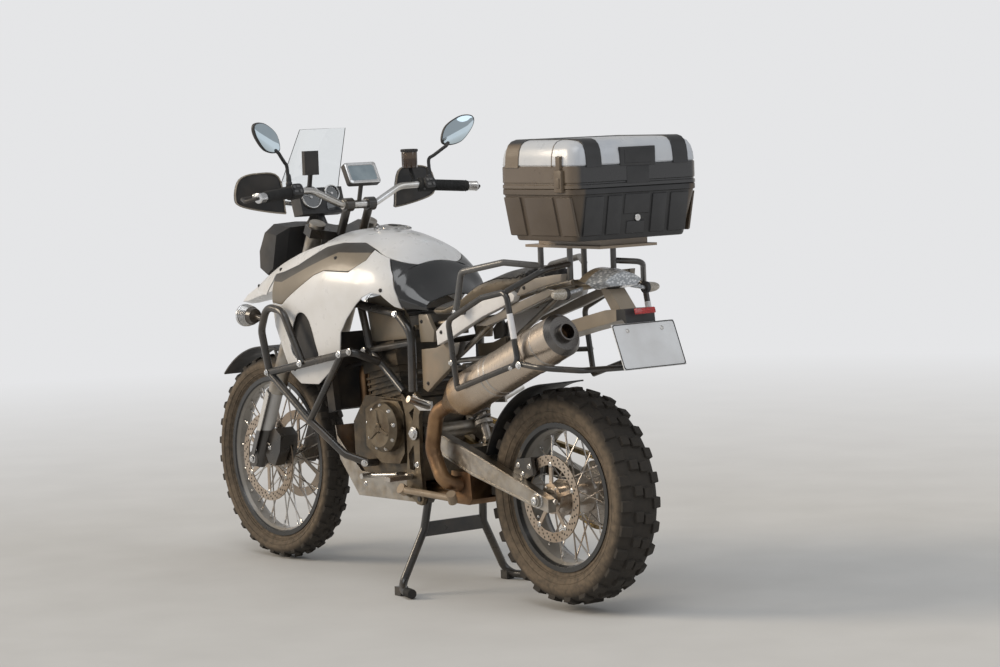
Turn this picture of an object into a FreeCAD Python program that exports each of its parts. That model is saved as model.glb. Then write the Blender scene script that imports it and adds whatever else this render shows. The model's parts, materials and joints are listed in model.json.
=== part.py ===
import FreeCAD, Part
import math
import os

V = FreeCAD.Vector

# Driving sizes in millimetres. While modelling, X = 0 is the rear axle, +X is forward,
# +Y is the rider's left and Z = 0 is the ground.
WHEELBASE = 1578.0
FRONT_TYRE_R = 352.0
FRONT_TYRE_HALF_W = 49.0
FRONT_RIM_R = 276.0
FRONT_RIM_HALF_W = 31.0
REAR_TYRE_R = 330.0
REAR_TYRE_HALF_W = 76.0
REAR_RIM_R = 228.0
REAR_RIM_HALF_W = 58.0
REAR_WHEEL_LIFT = 17.0
FRONT_AXLE = V(WHEELBASE, 0, FRONT_TYRE_R)
REAR_AXLE = V(0, 0, REAR_TYRE_R + REAR_WHEEL_LIFT)

# Gaps between pieces: a resting fit, a running pin and free air round what moves.
SEAT_GAP = 0.3
PIN_GAP = 0.06
AIR_GAP = 5.0

# Steering geometry: rake from the vertical and trail on the ground.
RAKE_DEG = 26.0
TRAIL = 117.0
FORK_OFFSET = 35.0
FORK_HALF_SPACING = 105.0
FORK_TUBE_R = 27.0
FORK_SLIDER_R = 21.5
STEM_R = 14.0
HEAD_TUBE_R = 28.0

# Places along the steering axis, measured up from the ground.
HEAD_BOTTOM = 1058.0
HEAD_TOP = 1228.0
CLAMP_THICK = 32.0
FORK_TOP = 1278.0
FORK_TUBE_BOTTOM = 640.0
FORK_SLIDER_BOTTOM = 352.0

AXLE_R = 10.0
REAR_AXLE_R = 12.0
FRONT_DISC_R = 150.0
REAR_DISC_R = 132.5
DISC_BAND = 30.0
DISC_THICK = 4.5
FRONT_DISC_Y = 64.0
REAR_DISC_Y = 88.0
FRONT_HUB_R = 24.0
REAR_HUB_R = 32.0
SPOKE_THICK = 3.6
SPOKES_PER_SIDE = 18
SPOKE_LEAD_DEG = 42.0
FRONT_WELL_R = 256.0
REAR_WELL_R = 206.0

# Handlebar: its clamp on the steering axis, and its ends.
BAR_ALONG = 1370.0
BAR_AHEAD = -21.0
BAR_CLAMP_Y = 44.0
BAR_R = 11.0
BAR_MIDDLE_R = 14.3
BAR_HALF_W = 440.0
BAR_END_X = 1007.0
BAR_END_Z = 1262.0
# Places along the bar, measured in from its end.
BAR_RISE_IN = 264.0
BAR_BEND_IN = 204.0
GUARD_ROOT_IN = 218.0
MIRROR_IN = 158.0
GRIP_R = 17.0
GRIP_LENGTH = 118.0

FRAME_TUBE_R = 14.0
FRAME_HALF_W = 136.0
PLATE_THICK = 14.0
SUBFRAME_R = 10.0
SUBFRAME_Y = 84.0
TAIL_IN_Y = 122.0
COVER_IN_Y = 104.0
SWINGARM_PIVOT = V(612, 0, 508)
SWINGARM_PIVOT_R = 11.0
SWINGARM_IN_Y = 112.0
SWINGARM_OUT_Y = 142.0
SPROCKET_Y = -96.0
FRONT_SPROCKET = V(690, SPROCKET_Y, 520)
CHAIN_PITCH = 15.875
CHAIN_PLATE = 2.0
FRONT_SPROCKET_TEETH = 16
REAR_SPROCKET_TEETH = 42

STAND_PIVOT = V(598, 0, 300)
STAND_TUBE_R = 13.0
STAND_PIN_R = 8.0
STAND_RUNNER_LIFT = 4.0
SIDE_STAND_PIVOT = V(652, FRAME_HALF_W + 22, 322)
SIDE_STAND_AXIS = V(0, 0.86, 0.51)
SIDE_STAND_LENGTH = 262.0

CRASH_BAR_R = 12.5
FAIRING_IN_Y = FRAME_HALF_W + 30.0
RACK_TUBE_R = 9.0
RACK_Y = 268.0
CARRIER_POST_R = 9.0

CASE_HALF_W = 240.0
CASE_REAR_X = -340.0
CASE_FRONT_X = 15.0
CASE_FLOOR_Z = 1135.0
CASE_SEAM_Z = 1288.0
CASE_TOP_Z = 1430.0
CASE_WALL = 4.0
HINGE_R = 5.0
SCREEN_THICK = 4.0
HEADLIGHT_OUTLINE = [(1350, 1150), (1450, 1160), (1500, 1070), (1500, 990), (1440, 960),
                     (1390, 990)]

ENGINE_HALF_W = FRAME_HALF_W - 18.0
CYLINDER_LEAN_DEG = 12.0
CYLINDER_FOOT = V(800, 0, 590)
MUFFLER_REAR = V(-190, 184, 858)
MUFFLER_FRONT = V(292, 184, 652)
MUFFLER_R = 66.0
MUFFLER_CONE = 88.0
PLATE_TOP = V(-342, 0, 889)
PLATE_BOTTOM = V(-397, 0, 759)
PLATE_HALF_W = 119.0
PLATE_THICK_MM = 3.0


def axis_point(along, ahead=0.0, y=0.0):
    # A point given along the steering axis and square to it.
    rake = math.radians(RAKE_DEG)
    x = WHEELBASE + TRAIL - along * math.sin(rake) + ahead * math.cos(rake)
    return V(x, y, along * math.cos(rake) + ahead * math.sin(rake))


def fork_point(along, y, ahead=0.0):
    return axis_point(along, FORK_OFFSET + ahead, y)


def box(x0, x1, y0, y1, z0, z1):
    return Part.makeBox(x1 - x0, y1 - y0, z1 - z0, V(x0, y0, z0))


def rod(start, end, radius):
    way = end - start
    return Part.makeCylinder(radius, way.Length, start, way)


def cross_rod(centre, y0, y1, radius):
    return rod(centre + V(0, y0, 0), centre + V(0, y1, 0), radius)


def cone(start, end, start_r, end_r):
    way = end - start
    return Part.makeCone(start_r, end_r, way.Length, start, way)


def ring(start, end, outer_r, inner_r):
    return rod(start, end, outer_r).cut(rod(start, end, inner_r))


def fuse(shapes):
    if len(shapes) == 1:
        return shapes[0]
    return shapes[0].fuse(shapes[1:]).removeSplitter()


def mirrored(shape):
    return shape.mirror(V(0, 0, 0), V(0, 1, 0))


def both_sides(shape):
    return Part.makeCompound([shape, mirrored(shape)])


def side_plate(outline, y0, y1):
    # An outline of (x, z) points carried from y0 to y1.
    wire = Part.makePolygon([V(x, y0, z) for x, z in outline + outline[:1]])
    return Part.Face(wire).extrude(V(0, y1 - y0, 0))


def axis_prism(outline, low, high):
    # An outline of (ahead, y) points square to the steering axis, carried from low to high.
    points = [axis_point(low, ahead, y) for ahead, y in outline]
    face = Part.Face(Part.makePolygon(points + points[:1]))
    return face.extrude(axis_point(high) - axis_point(low))


def wheel_turned(profile, centre):
    # A profile of (radius, y) points turned about a wheel's axle.
    points = [centre + V(0, y, r) for r, y in profile + profile[:1]]
    return Part.Face(Part.makePolygon(points)).revolve(centre, V(0, 1, 0), 360)


def mirrored_profile(half):
    return half + [(r, -y) for r, y in reversed(half)]


def bent_tube(points, radius, bend):
    # A round bar along straight runs, with a bend of the given radius at each corner.
    pieces = []
    last = points[0]
    for before, corner, after in zip(points, points[1:], points[2:]):
        back = (before - corner).normalize()
        on = (after - corner).normalize()
        half = back.getAngle(on) / 2
        room = min((corner - before).Length, (after - corner).Length) * 0.48
        setback = min(bend / math.tan(half), room)
        turn_r = setback * math.tan(half)
        start = corner + back * setback
        centre = corner + (back + on).normalize() * (turn_r / math.sin(half))
        axis = on.cross(back)
        section = Part.Face(Part.Wire(Part.makeCircle(radius, start, back)))
        pieces.append(rod(last, start, radius))
        pieces.append(section.revolve(centre, axis, 180 - math.degrees(2 * half)))
        last = corner + on * setback
    pieces.append(rod(last, points[-1], radius))
    return pieces[0].fuse(pieces[1:]).removeSplitter()


def square_bar(start, end, thick):
    way = (end - start).normalize()
    across = way.cross(V(0, 1, 0)).normalize() * (thick / 2)
    up = way.cross(across).normalize() * (thick / 2)
    corners = [start + across + up, start - across + up, start - across - up, start + across - up]
    return Part.Face(Part.makePolygon(corners + corners[:1])).extrude(end - start)


def arch_section(x, low_half, low_z, half, side_z, top_z):
    # A closed cross-section: flat floor, straight sides and an arched top.
    left_low = V(x, low_half, low_z)
    right_low = V(x, -low_half, low_z)
    left = V(x, half, side_z)
    right = V(x, -half, side_z)
    floor = Part.LineSegment(right_low, left_low).toShape()
    left_side = Part.LineSegment(left_low, left).toShape()
    top = Part.Arc(left, V(x, 0, top_z), right).toShape()
    right_side = Part.LineSegment(right, right_low).toShape()
    return Part.Wire([floor, left_side, top, right_side])


def arch_body(stations):
    return Part.makeLoft([arch_section(*station) for station in stations], True, True)


def bulged_panel(outline, depths):
    # A side panel: its outline drawn in about its middle by a share at each depth (y, share).
    cx = sum(x for x, z in outline) / len(outline)
    cz = sum(z for x, z in outline) / len(outline)
    wires = []
    for y, share in depths:
        points = [V(x + (cx - x) * share, y, z + (cz - z) * share) for x, z in outline]
        wires.append(Part.makePolygon(points + points[:1]))
    return Part.makeLoft(wires, True, True)


def front_tyre():
    half = FRONT_TYRE_HALF_W
    bead = FRONT_RIM_R - 10 + SEAT_GAP
    profile = [
        (bead, 26.2), (FRONT_RIM_R + 2, 27.7), (FRONT_RIM_R + 18, half - 6),
        (FRONT_TYRE_R - 34, half), (FRONT_TYRE_R - 11, half - 11), (FRONT_TYRE_R, 17),
    ]
    return wheel_turned(mirrored_profile(profile), FRONT_AXLE)


def rear_tyre():
    half = REAR_TYRE_HALF_W
    bead = REAR_RIM_R - 10 + SEAT_GAP
    profile = [
        (bead, 53.2), (REAR_RIM_R + 2, 54.7), (REAR_RIM_R + 24, half - 8),
        (REAR_TYRE_R - 44, half), (REAR_TYRE_R - 16, half - 9), (REAR_TYRE_R, 34),
    ]
    return wheel_turned(mirrored_profile(profile), REAR_AXLE)


def rim(radius, half, well, centre):
    seat = radius - 10
    profile = [
        (well, half * 0.4), (seat, half - 4.5), (radius, half - 3),
        (radius, half), (seat - 5, half), (well - 5, half * 0.5),
    ]
    outer = profile[:4]
    inner = profile[4:]
    outline = mirrored_profile(list(reversed(outer)))
    inner_line = [(r, -y) for r, y in inner] + [(r, y) for r, y in reversed(inner)]
    return wheel_turned(outline + inner_line, centre)


def spoke_set(centre, hub_r, flange_y, rim_r, rim_y):
    # Crossed spokes: each leaves the hub flange ahead of or behind its place at the rim.
    spokes = []
    pitch = 360.0 / SPOKES_PER_SIDE
    for side in (1, -1):
        for index in range(SPOKES_PER_SIDE):
            rim_angle = math.radians(pitch * (index + 0.25 * side))
            lead = math.radians(SPOKE_LEAD_DEG if index % 2 else -SPOKE_LEAD_DEG)
            hub_angle = rim_angle + lead
            hub = V(math.sin(hub_angle) * hub_r, side * flange_y, math.cos(hub_angle) * hub_r)
            end = V(math.sin(rim_angle) * rim_r, side * rim_y, math.cos(rim_angle) * rim_r)
            spokes.append(square_bar(centre + hub, centre + end, SPOKE_THICK))
    return spokes


def front_hub():
    c = FRONT_AXLE
    barrel = cross_rod(c, -74, 74, FRONT_HUB_R)
    flanges = [cross_rod(c, y - 4, y + 4, 40) for y in (-30, 30)]
    bore = cross_rod(c, -80, 80, AXLE_R + PIN_GAP)
    spokes = spoke_set(c, 36, 30, FRONT_WELL_R - 5.6, 6)
    return fuse([barrel] + flanges + spokes).cut(bore)


def rear_hub():
    c = REAR_AXLE
    barrel = cross_rod(c, SPROCKET_Y - 4, REAR_DISC_Y + 4, REAR_HUB_R)
    flanges = [cross_rod(c, y - 5, y + 5, 56) for y in (-44, 44)]
    bore = cross_rod(c, -120, 120, REAR_AXLE_R + PIN_GAP)
    spokes = spoke_set(c, 52, 44, REAR_WELL_R - 5.6, 12)
    return fuse([barrel] + flanges + spokes).cut(bore)


def disc(centre, outer_r, hub_r, arms):
    # A brake disc: the braking band, slim arms and the ring that bolts to the hub.
    half = V(0, DISC_THICK / 2, 0)
    band = ring(centre - half, centre + half, outer_r, outer_r - DISC_BAND)
    boss = ring(centre - half, centre + half, hub_r + 14, hub_r + SEAT_GAP)
    pieces = [band, boss]
    slab = box(-500, 500, -DISC_THICK / 2, DISC_THICK / 2, -500, 500).translated(centre)
    for index in range(arms):
        angle = 2 * math.pi * index / arms
        way = V(math.sin(angle), 0, math.cos(angle))
        arm = square_bar(centre + way * (hub_r + 10), centre + way * (outer_r - DISC_BAND + 4), 13)
        pieces.append(arm.common(slab))
    return fuse(pieces)


def front_discs():
    left = disc(FRONT_AXLE + V(0, FRONT_DISC_Y, 0), FRONT_DISC_R, FRONT_HUB_R, 6)
    return both_sides(left)


def rear_disc():
    return disc(REAR_AXLE + V(0, REAR_DISC_Y, 0), REAR_DISC_R, REAR_HUB_R, 5)


def pitch_radius(teeth):
    return CHAIN_PITCH / math.sin(math.pi / teeth) / 2


def rear_sprocket():
    centre = REAR_AXLE + V(0, SPROCKET_Y, 0)
    half = V(0, 3, 0)
    tip_r = pitch_radius(REAR_SPROCKET_TEETH) - 7.3
    return ring(centre - half, centre + half, tip_r, REAR_HUB_R + SEAT_GAP)


def fork_clamps():
    # Lower and upper clamps, the stem that joins them and the handlebar's risers.
    low = HEAD_BOTTOM - AIR_GAP - CLAMP_THICK
    high = HEAD_TOP + AIR_GAP
    leg = FORK_HALF_SPACING
    reach = FORK_TUBE_R + 6
    front = FORK_OFFSET + reach
    rear = FORK_OFFSET - reach
    half = [(front - 30, 24), (front, leg - 22), (front - 14, leg + reach),
            (rear + 14, leg + reach), (rear, leg - 14), (-24, 30)]
    outline = half + [(ahead, -y) for ahead, y in reversed(half)]
    stem = rod(axis_point(low), axis_point(high + CLAMP_THICK), STEM_R)
    pieces = [stem, axis_prism(outline, low, low + CLAMP_THICK),
              axis_prism(outline, high, high + CLAMP_THICK)]
    bar_centre = axis_point(BAR_ALONG, BAR_AHEAD)
    for y in (BAR_CLAMP_Y, -BAR_CLAMP_Y):
        foot = axis_point(high + CLAMP_THICK - 4, BAR_AHEAD, y)
        pieces.append(rod(foot, bar_centre + V(0, y, 0), 14))
        pieces.append(cross_rod(bar_centre, y - 15, y + 15, BAR_MIDDLE_R + 8))
    clamps = fuse(pieces)
    for y in (leg, -leg):
        clamps = clamps.cut(rod(fork_point(low - 50, y), fork_point(high + 90, y), FORK_TUBE_R))
    return clamps.cut(cross_rod(bar_centre, -90, 90, BAR_MIDDLE_R))


def fork_tubes():
    low = fork_point(FORK_TUBE_BOTTOM, FORK_HALF_SPACING)
    tube = rod(low, fork_point(FORK_TOP, FORK_HALF_SPACING), FORK_TUBE_R)
    collar = rod(low, fork_point(FORK_TUBE_BOTTOM + 36, FORK_HALF_SPACING), FORK_TUBE_R + 3)
    return both_sides(fuse([tube, collar]))


def fork_sliders():
    # Sliders, their axle lugs, the guards in front of them and the axle itself.
    y = FORK_HALF_SPACING
    slider = rod(fork_point(FORK_SLIDER_BOTTOM, y), fork_point(FORK_TUBE_BOTTOM, y), FORK_SLIDER_R)
    lug = cross_rod(FRONT_AXLE, y - 22, y + 22, 27)
    outer = [(-6, 37), (20, 32), (33, 17), (37, 0), (33, -17), (22, -27)]
    inner = [(20, -23), (29, -14), (33, 0), (29, 14), (18, 28), (-6, 33)]
    outline = [(FORK_OFFSET + ahead, y + out) for ahead, out in outer + inner]
    guard = axis_prism(outline, 392, FORK_TUBE_BOTTOM - AIR_GAP)
    bridges = [rod(fork_point(along, y), fork_point(along, y, 35), 7) for along in (430, 590)]
    leg = fuse([slider, lug, guard] + bridges)
    axle = cross_rod(FRONT_AXLE, 20 - FORK_HALF_SPACING, FORK_HALF_SPACING - 20, AXLE_R)
    return fuse([leg, mirrored(leg), axle])


def front_calipers():
    # Each caliper straddles its disc behind the slider, with running air on both sides.
    outline = [(-92, 400), (-52, 392), (-26, 410), (-26, 500), (-44, 520), (-84, 512), (-100, 460)]
    y_in = FRONT_DISC_Y - 24
    y_out = FORK_HALF_SPACING + 6
    points = [axis_point(along, FORK_OFFSET + ahead, y_in) for ahead, along in outline]
    block = Part.Face(Part.makePolygon(points + points[:1])).extrude(V(0, y_out - y_in, 0))
    air = V(0, DISC_THICK / 2 + AIR_GAP, 0)
    middle = FRONT_AXLE + V(0, FRONT_DISC_Y, 0)
    slot = rod(middle - air, middle + air, FRONT_DISC_R + AIR_GAP)
    arm = rod(fork_point(450, FORK_HALF_SPACING, -40), fork_point(450, FORK_HALF_SPACING), 10)
    slider = rod(fork_point(300, FORK_HALF_SPACING), fork_point(700, FORK_HALF_SPACING),
                 FORK_SLIDER_R + SEAT_GAP)
    return both_sides(fuse([block.cut(slot), arm]).cut(slider))


def front_mudguard():
    # A short guard over the tyre, carried by two stays on each fork leg.
    c = FRONT_AXLE
    inner_r = FRONT_TYRE_R + 24
    half_w = 62
    shell = ring(c + V(0, -half_w, 0), c + V(0, half_w, 0), inner_r + 5, inner_r)
    outline = [(c.x, c.z)]
    for degrees in (-40, 0, 44):
        angle = math.radians(degrees)
        outline.append((c.x + math.sin(angle) * 900, c.z + math.cos(angle) * 900))
    arch = shell.common(side_plate(outline, -half_w - 10, half_w + 10))
    stays = []
    for side in (1, -1):
        foot = fork_point(FORK_TUBE_BOTTOM + 80, side * FORK_HALF_SPACING)
        for degrees in (-26, -8):
            angle = math.radians(degrees)
            top = c + V(math.sin(angle), 0, math.cos(angle)) * (inner_r + 3)
            stays.append(rod(foot, top + V(0, side * (half_w - 6), 0), 5))
    guard = fuse([arch] + stays)
    for side in (1, -1):
        y = side * FORK_HALF_SPACING
        guard = guard.cut(rod(fork_point(500, y), fork_point(900, y), FORK_TUBE_R + SEAT_GAP))
    return guard


def bar_points():
    # The handlebar's centre line: flat middle, rise, and straight swept-back ends.
    clamp = axis_point(BAR_ALONG, BAR_AHEAD)
    middle = V(clamp.x, 66, clamp.z)
    rise = V(clamp.x + 10, BAR_HALF_W - BAR_RISE_IN, clamp.z + 52)
    inner = V(clamp.x - 6, BAR_HALF_W - BAR_BEND_IN, clamp.z + 54)
    tip = V(BAR_END_X, BAR_HALF_W, BAR_END_Z)
    side = [middle, rise, inner, tip]
    return [V(p.x, -p.y, p.z) for p in reversed(side)] + side


def bar_station(y):
    # A point on the straight outer stretch of the handlebar's left half.
    inner, tip = bar_points()[-2:]
    return inner + (tip - inner) * ((y - inner.y) / (tip.y - inner.y))


def handlebar():
    bar = bent_tube(bar_points(), BAR_R, 70)
    clamp = axis_point(BAR_ALONG, BAR_AHEAD)
    sleeve = cross_rod(clamp, -66, 66, BAR_MIDDLE_R)
    weight = rod(bar_station(BAR_HALF_W - 32), bar_station(BAR_HALF_W), GRIP_R - 2)
    return fuse([bar, sleeve, weight, mirrored(weight)])


def hand_controls():
    # Grips, switch blocks, lever perches, levers and the front brake's reservoir.
    grip_end = BAR_HALF_W - 32 - SEAT_GAP
    grip = rod(bar_station(grip_end - GRIP_LENGTH), bar_station(grip_end), GRIP_R)
    switch_out = bar_station(grip_end - GRIP_LENGTH)
    switch_in = bar_station(grip_end - GRIP_LENGTH - 46)
    switch = rod(switch_in, switch_out, GRIP_R + 7)
    perch = rod(switch_in + V(34, -6, 6), switch_out + V(34, 6, 6), 12)
    arm = rod(switch_in + V(0, 10, 0), switch_in + V(34, 10, 6), 10)
    pivot = switch_out + V(40, 0, 6)
    lever = fuse([rod(pivot, bar_station(grip_end - 10) + V(66, 0, 2), 6)])
    bar = rod(bar_station(BAR_HALF_W - BAR_BEND_IN - 6), bar_station(BAR_HALF_W), BAR_R)
    left = fuse([grip, switch, perch, arm, lever]).cut(bar)
    right = mirrored(left)
    pot_foot = V(switch_in.x + 34, -switch_in.y - 8, switch_in.z + 6)
    neck = rod(pot_foot, pot_foot + V(14, 10, 52), 6)
    pot = rod(pot_foot + V(14, 10, 50), pot_foot + V(14, 10, 104), 26)
    lid = rod(pot_foot + V(14, 10, 104), pot_foot + V(14, 10, 112), 28)
    return Part.makeCompound([left, fuse([right, neck, pot, lid])])


def handguards():
    # A plastic shield in front of each lever on an alloy loop from the bar end.
    tip = bar_station(BAR_HALF_W)
    foot = tip + (tip - bar_station(0)).normalize() * (6 + SEAT_GAP)
    elbow = tip + V(34, 26, -10)
    front = bar_station(BAR_HALF_W - 20) + V(118, 0, -6)
    root = bar_station(BAR_HALF_W - GUARD_ROOT_IN) + V(104, 8, -8)
    loop = bent_tube([foot, elbow, front, root], 6, 30)
    shield = [(0, -52), (14, -66), (150, -40), (178, -10), (160, 50), (96, 66), (20, 52)]
    points = [V(root.x + 2 + 0.1 * s, root.y - 6 + s, root.z + h) for s, h in shield]
    panel = Part.Face(Part.makePolygon(points + points[:1])).extrude(V(6, 0, 0))
    clamp = rod(bar_station(BAR_HALF_W - GUARD_ROOT_IN), root, 6)
    cut_bar = rod(bar_station(BAR_HALF_W - GUARD_ROOT_IN - 22), bar_station(BAR_HALF_W),
                  BAR_R + SEAT_GAP)
    guard = fuse([loop, panel, clamp]).cut(cut_bar)
    return both_sides(guard)


def mirrors():
    # Tear-shaped heads on bent stalks.
    foot = bar_station(BAR_HALF_W - MIRROR_IN) + V(6, 0, GRIP_R + 7)
    knee = foot + V(4, 4, 62)
    head = V(BAR_END_X + 20, BAR_HALF_W - 59, BAR_END_Z + 186)
    root = head + V(6, -44, -46)
    stalk = bent_tube([foot, knee, root, root + V(0, 10, 10)], 6, 26)
    outline = [(-58, -34), (-30, -46), (14, -34), (50, 6), (62, 38), (48, 54), (6, 50), (-44, 16)]
    points = [V(head.x - 0.25 * s, head.y + s, head.z + h) for s, h in outline]
    shell = Part.Face(Part.makePolygon(points + points[:1])).extrude(V(20, 5, 0))
    return both_sides(fuse([stalk, shell]))


def nav_unit():
    clamp = axis_point(BAR_ALONG, BAR_AHEAD)
    foot = clamp + V(0, 0, BAR_MIDDLE_R)
    neck = rod(clamp, foot + V(-16, 0, 62), 8).cut(cross_rod(clamp, -66, 66, BAR_MIDDLE_R + SEAT_GAP))
    body = box(-9, 9, -62, 62, -38, 38)
    body.rotate(V(0, 0, 0), V(0, 1, 0), -28)
    return fuse([neck, body.translated(foot + V(-18, 0, 84))])


def frame():
    # The head tube, the two side loops of round tube, and the cross tubes.
    head = ring(axis_point(HEAD_BOTTOM), axis_point(HEAD_TOP), HEAD_TUBE_R, STEM_R + PIN_GAP)
    y = FRAME_HALF_W
    spar = bent_tube([V(1186, 18, 1010), V(1090, 62, 950), V(893, y, 905), V(690, y, 884),
                      V(622, y, 826), V(624, y, 640)], FRAME_TUBE_R, 70)
    brace = bent_tube([V(893, y, 903), V(846, y, 762), V(672, y, 636)], FRAME_TUBE_R - 1.5, 60)
    tie = rod(V(846, y, 762), V(622, y, 794), FRAME_TUBE_R - 3)
    side = fuse([spar, brace, tie])
    across = [rod(V(x, -y, z), V(x, y, z), FRAME_TUBE_R - 3) for x, z in ((690, 884), (624, 668))]
    stubs = [rod(V(x, side * y, z), V(x, side * (FAIRING_IN_Y - SEAT_GAP), z), 8)
             for x, z in ((893, 905), (846, 762)) for side in (1, -1)]
    bore = rod(axis_point(HEAD_BOTTOM - 60), axis_point(HEAD_TOP + 60), STEM_R + PIN_GAP)
    return fuse([head, side, mirrored(side)] + across + stubs).cut(bore)


def pivot_plates():
    # Cast plates that hang from the frame tubes and carry swingarm, pegs and stands.
    y0 = FRAME_HALF_W - PLATE_THICK / 2
    y1 = FRAME_HALF_W + PLATE_THICK / 2
    outline = [(684, 638), (640, 604), (606, 640), (566, 606), (588, 566), (590, 420), (576, 300),
               (588, 280), (610, 282), (668, 320), (656, 440), (660, 560)]
    plate = side_plate(outline, y0, y1)
    plate = plate.cut(side_plate([(640, 572), (612, 590), (622, 548)], y0 - 1, y1 + 1))
    plate = plate.cut(side_plate([(650, 440), (622, 470), (616, 390), (644, 390)], y0 - 1, y1 + 1))
    plate = plate.cut(cross_rod(STAND_PIVOT, y0 - 1, y1 + 1, STAND_PIN_R + PIN_GAP))
    plate = plate.cut(cross_rod(SWINGARM_PIVOT, y0 - 1, y1 + 1, SWINGARM_PIVOT_R + PIN_GAP))
    for start, end in ((V(672, FRAME_HALF_W, 636), V(846, FRAME_HALF_W, 762)),
                       (V(624, FRAME_HALF_W, 640), V(624, FRAME_HALF_W, 826))):
        plate = plate.cut(rod(start, end, FRAME_TUBE_R + SEAT_GAP))
    lug_in = SIDE_STAND_PIVOT - V(SIDE_STAND_AXIS).normalize() * 26
    lug = rod(lug_in, SIDE_STAND_PIVOT, 11)
    return plate, lug


def pivot_plate_pair():
    plate, lug = pivot_plates()
    return Part.makeCompound([fuse([plate, lug]), mirrored(plate)])


def subframe():
    # Bolted-on rear frame: two rails a side, cross tubes, and stubs that carry the tail panels.
    y = SUBFRAME_Y
    upper = bent_tube([V(622, y, 842), V(420, y, 872), V(60, y, 972), V(-130, y, 1005)],
                      SUBFRAME_R, 120)
    lower = bent_tube([V(622, y, 700), V(440, y, 760), V(130, y, 952)], SUBFRAME_R - 1, 120)
    stubs = [rod(V(x, y, z), V(x, TAIL_IN_Y - SEAT_GAP, z), 7) for x, z in ((300, 905), (40, 976))]
    stubs.append(rod(V(520, y, 734), V(520, COVER_IN_Y - SEAT_GAP, 734), 6))
    side = fuse([upper, lower] + stubs)
    across = []
    for x, z, half in ((622, 842, FRAME_HALF_W - FRAME_TUBE_R - SEAT_GAP), (60, 972, y),
                       (-126, 1004, y), (515, 735, y),
                       (622, 700, FRAME_HALF_W - FRAME_TUBE_R - SEAT_GAP)):
        across.append(rod(V(x, -half, z), V(x, half, z), SUBFRAME_R - 2))
    return fuse([side, mirrored(side)] + across)


def engine():
    # Crankcase, leaning twin cylinders with cooling grooves, head and cam cover.
    case = side_plate([(650, 430), (668, 344), (900, 336), (978, 404), (982, 520), (910, 610),
                       (668, 610), (650, 560)], -ENGINE_HALF_W, ENGINE_HALF_W)
    lean = math.radians(CYLINDER_LEAN_DEG)
    up = V(math.sin(lean), 0, math.cos(lean))
    on = V(math.cos(lean), 0, -math.sin(lean))
    foot = CYLINDER_FOOT

    def block(low, high, half_x, half_y):
        corners = [foot + on * (-half_x) + up * low, foot + on * half_x + up * low,
                   foot + on * half_x + up * high, foot + on * (-half_x) + up * high]
        points = [V(p.x, -half_y, p.z) for p in corners]
        return Part.Face(Part.makePolygon(points + points[:1])).extrude(V(0, 2 * half_y, 0))

    barrel = block(-10, 110, 84, 104)
    fins = [block(16 + step, 24 + step, 92, 112) for step in (0, 18, 36, 54, 72)]
    head = block(110, 190, 96, 116)
    cover = block(190, 226, 70, 104)
    shaft = V(FRONT_SPROCKET.x, 0, FRONT_SPROCKET.z)
    sprocket_r = pitch_radius(FRONT_SPROCKET_TEETH)
    pocket = cross_rod(shaft, -120, -82, sprocket_r + 20)
    mouth = box(640, shaft.x, -120, -82, 440, 580)
    solid = fuse([case, barrel] + fins + [head, cover]).cut(pocket).cut(mouth)
    sprocket = cross_rod(shaft, SPROCKET_Y - 3, SPROCKET_Y + 3, sprocket_r - 7.5)
    return fuse([solid, sprocket, cross_rod(shaft, SPROCKET_Y - 9, -81, 14)])


def engine_covers():
    # Alternator cover on the left, clutch cover on the right, sprocket cover behind it.
    left = V(752, 0, 520)
    start = ENGINE_HALF_W + SEAT_GAP
    round_cover = cross_rod(left, start, 168, 80)
    nose = cone(left + V(0, 168, 0), left + V(0, 186, 0), 80, 62)
    flange = side_plate([(672, 440), (700, 404), (800, 400), (880, 450), (880, 570), (800, 606),
                         (700, 604), (672, 570)], start, start + 24)
    right = V(782, 0, 480)
    clutch = cross_rod(right, -start - 44, -start, 92)
    clutch_nose = cone(right + V(0, -start - 44, 0), right + V(0, -start - 58, 0), 92, 74)
    return Part.makeCompound([fuse([round_cover, nose, flange]), fuse([clutch, clutch_nose])])


def exhaust_header():
    # Two downpipes under the engine into a collector box, and the pipe up to the muffler.
    pipes = []
    for y in (56, -56):
        pipes.append(bent_tube([V(930, y, 716), V(1004, y, 690), V(1014, y * 0.6, 420),
                                V(944, y * 0.6, 318), V(420, y * 0.6, 318)], 17, 60))
    box_outline = [(344, 318), (360, 300), (440, 300), (454, 330), (446, 402), (352, 402)]
    collector = side_plate(box_outline, -70, 128)
    way = (MUFFLER_REAR - MUFFLER_FRONT).normalize()
    inlet = MUFFLER_FRONT - way * (MUFFLER_CONE + SEAT_GAP)
    riser = bent_tube([V(400, 100, 360), V(424, 172, 366), V(478, 176, 470), inlet - way * 70, inlet],
                      24, 60)
    return fuse(pipes + [collector, riser])


def muffler():
    # Front cone, round body with its bands, end cap, and a hollow outlet.
    way = (MUFFLER_REAR - MUFFLER_FRONT).normalize()
    inlet = MUFFLER_FRONT - way * MUFFLER_CONE
    body = rod(MUFFLER_FRONT, MUFFLER_REAR, MUFFLER_R)
    front = cone(inlet, MUFFLER_FRONT, 27, MUFFLER_R)
    bands = []
    for share in (0.30, 0.72):
        start = MUFFLER_FRONT + (MUFFLER_REAR - MUFFLER_FRONT) * share
        bands.append(rod(start, start + way * 20, MUFFLER_R + 2))
    cap = cone(MUFFLER_REAR, MUFFLER_REAR + way * 16, MUFFLER_R, MUFFLER_R - 14)
    outlet = rod(MUFFLER_REAR, MUFFLER_REAR + way * 34, 28)
    bore = rod(MUFFLER_REAR - way * 90, MUFFLER_REAR + way * 60, 23)
    return fuse([body, front, cap, outlet] + bands).cut(bore)


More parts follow.
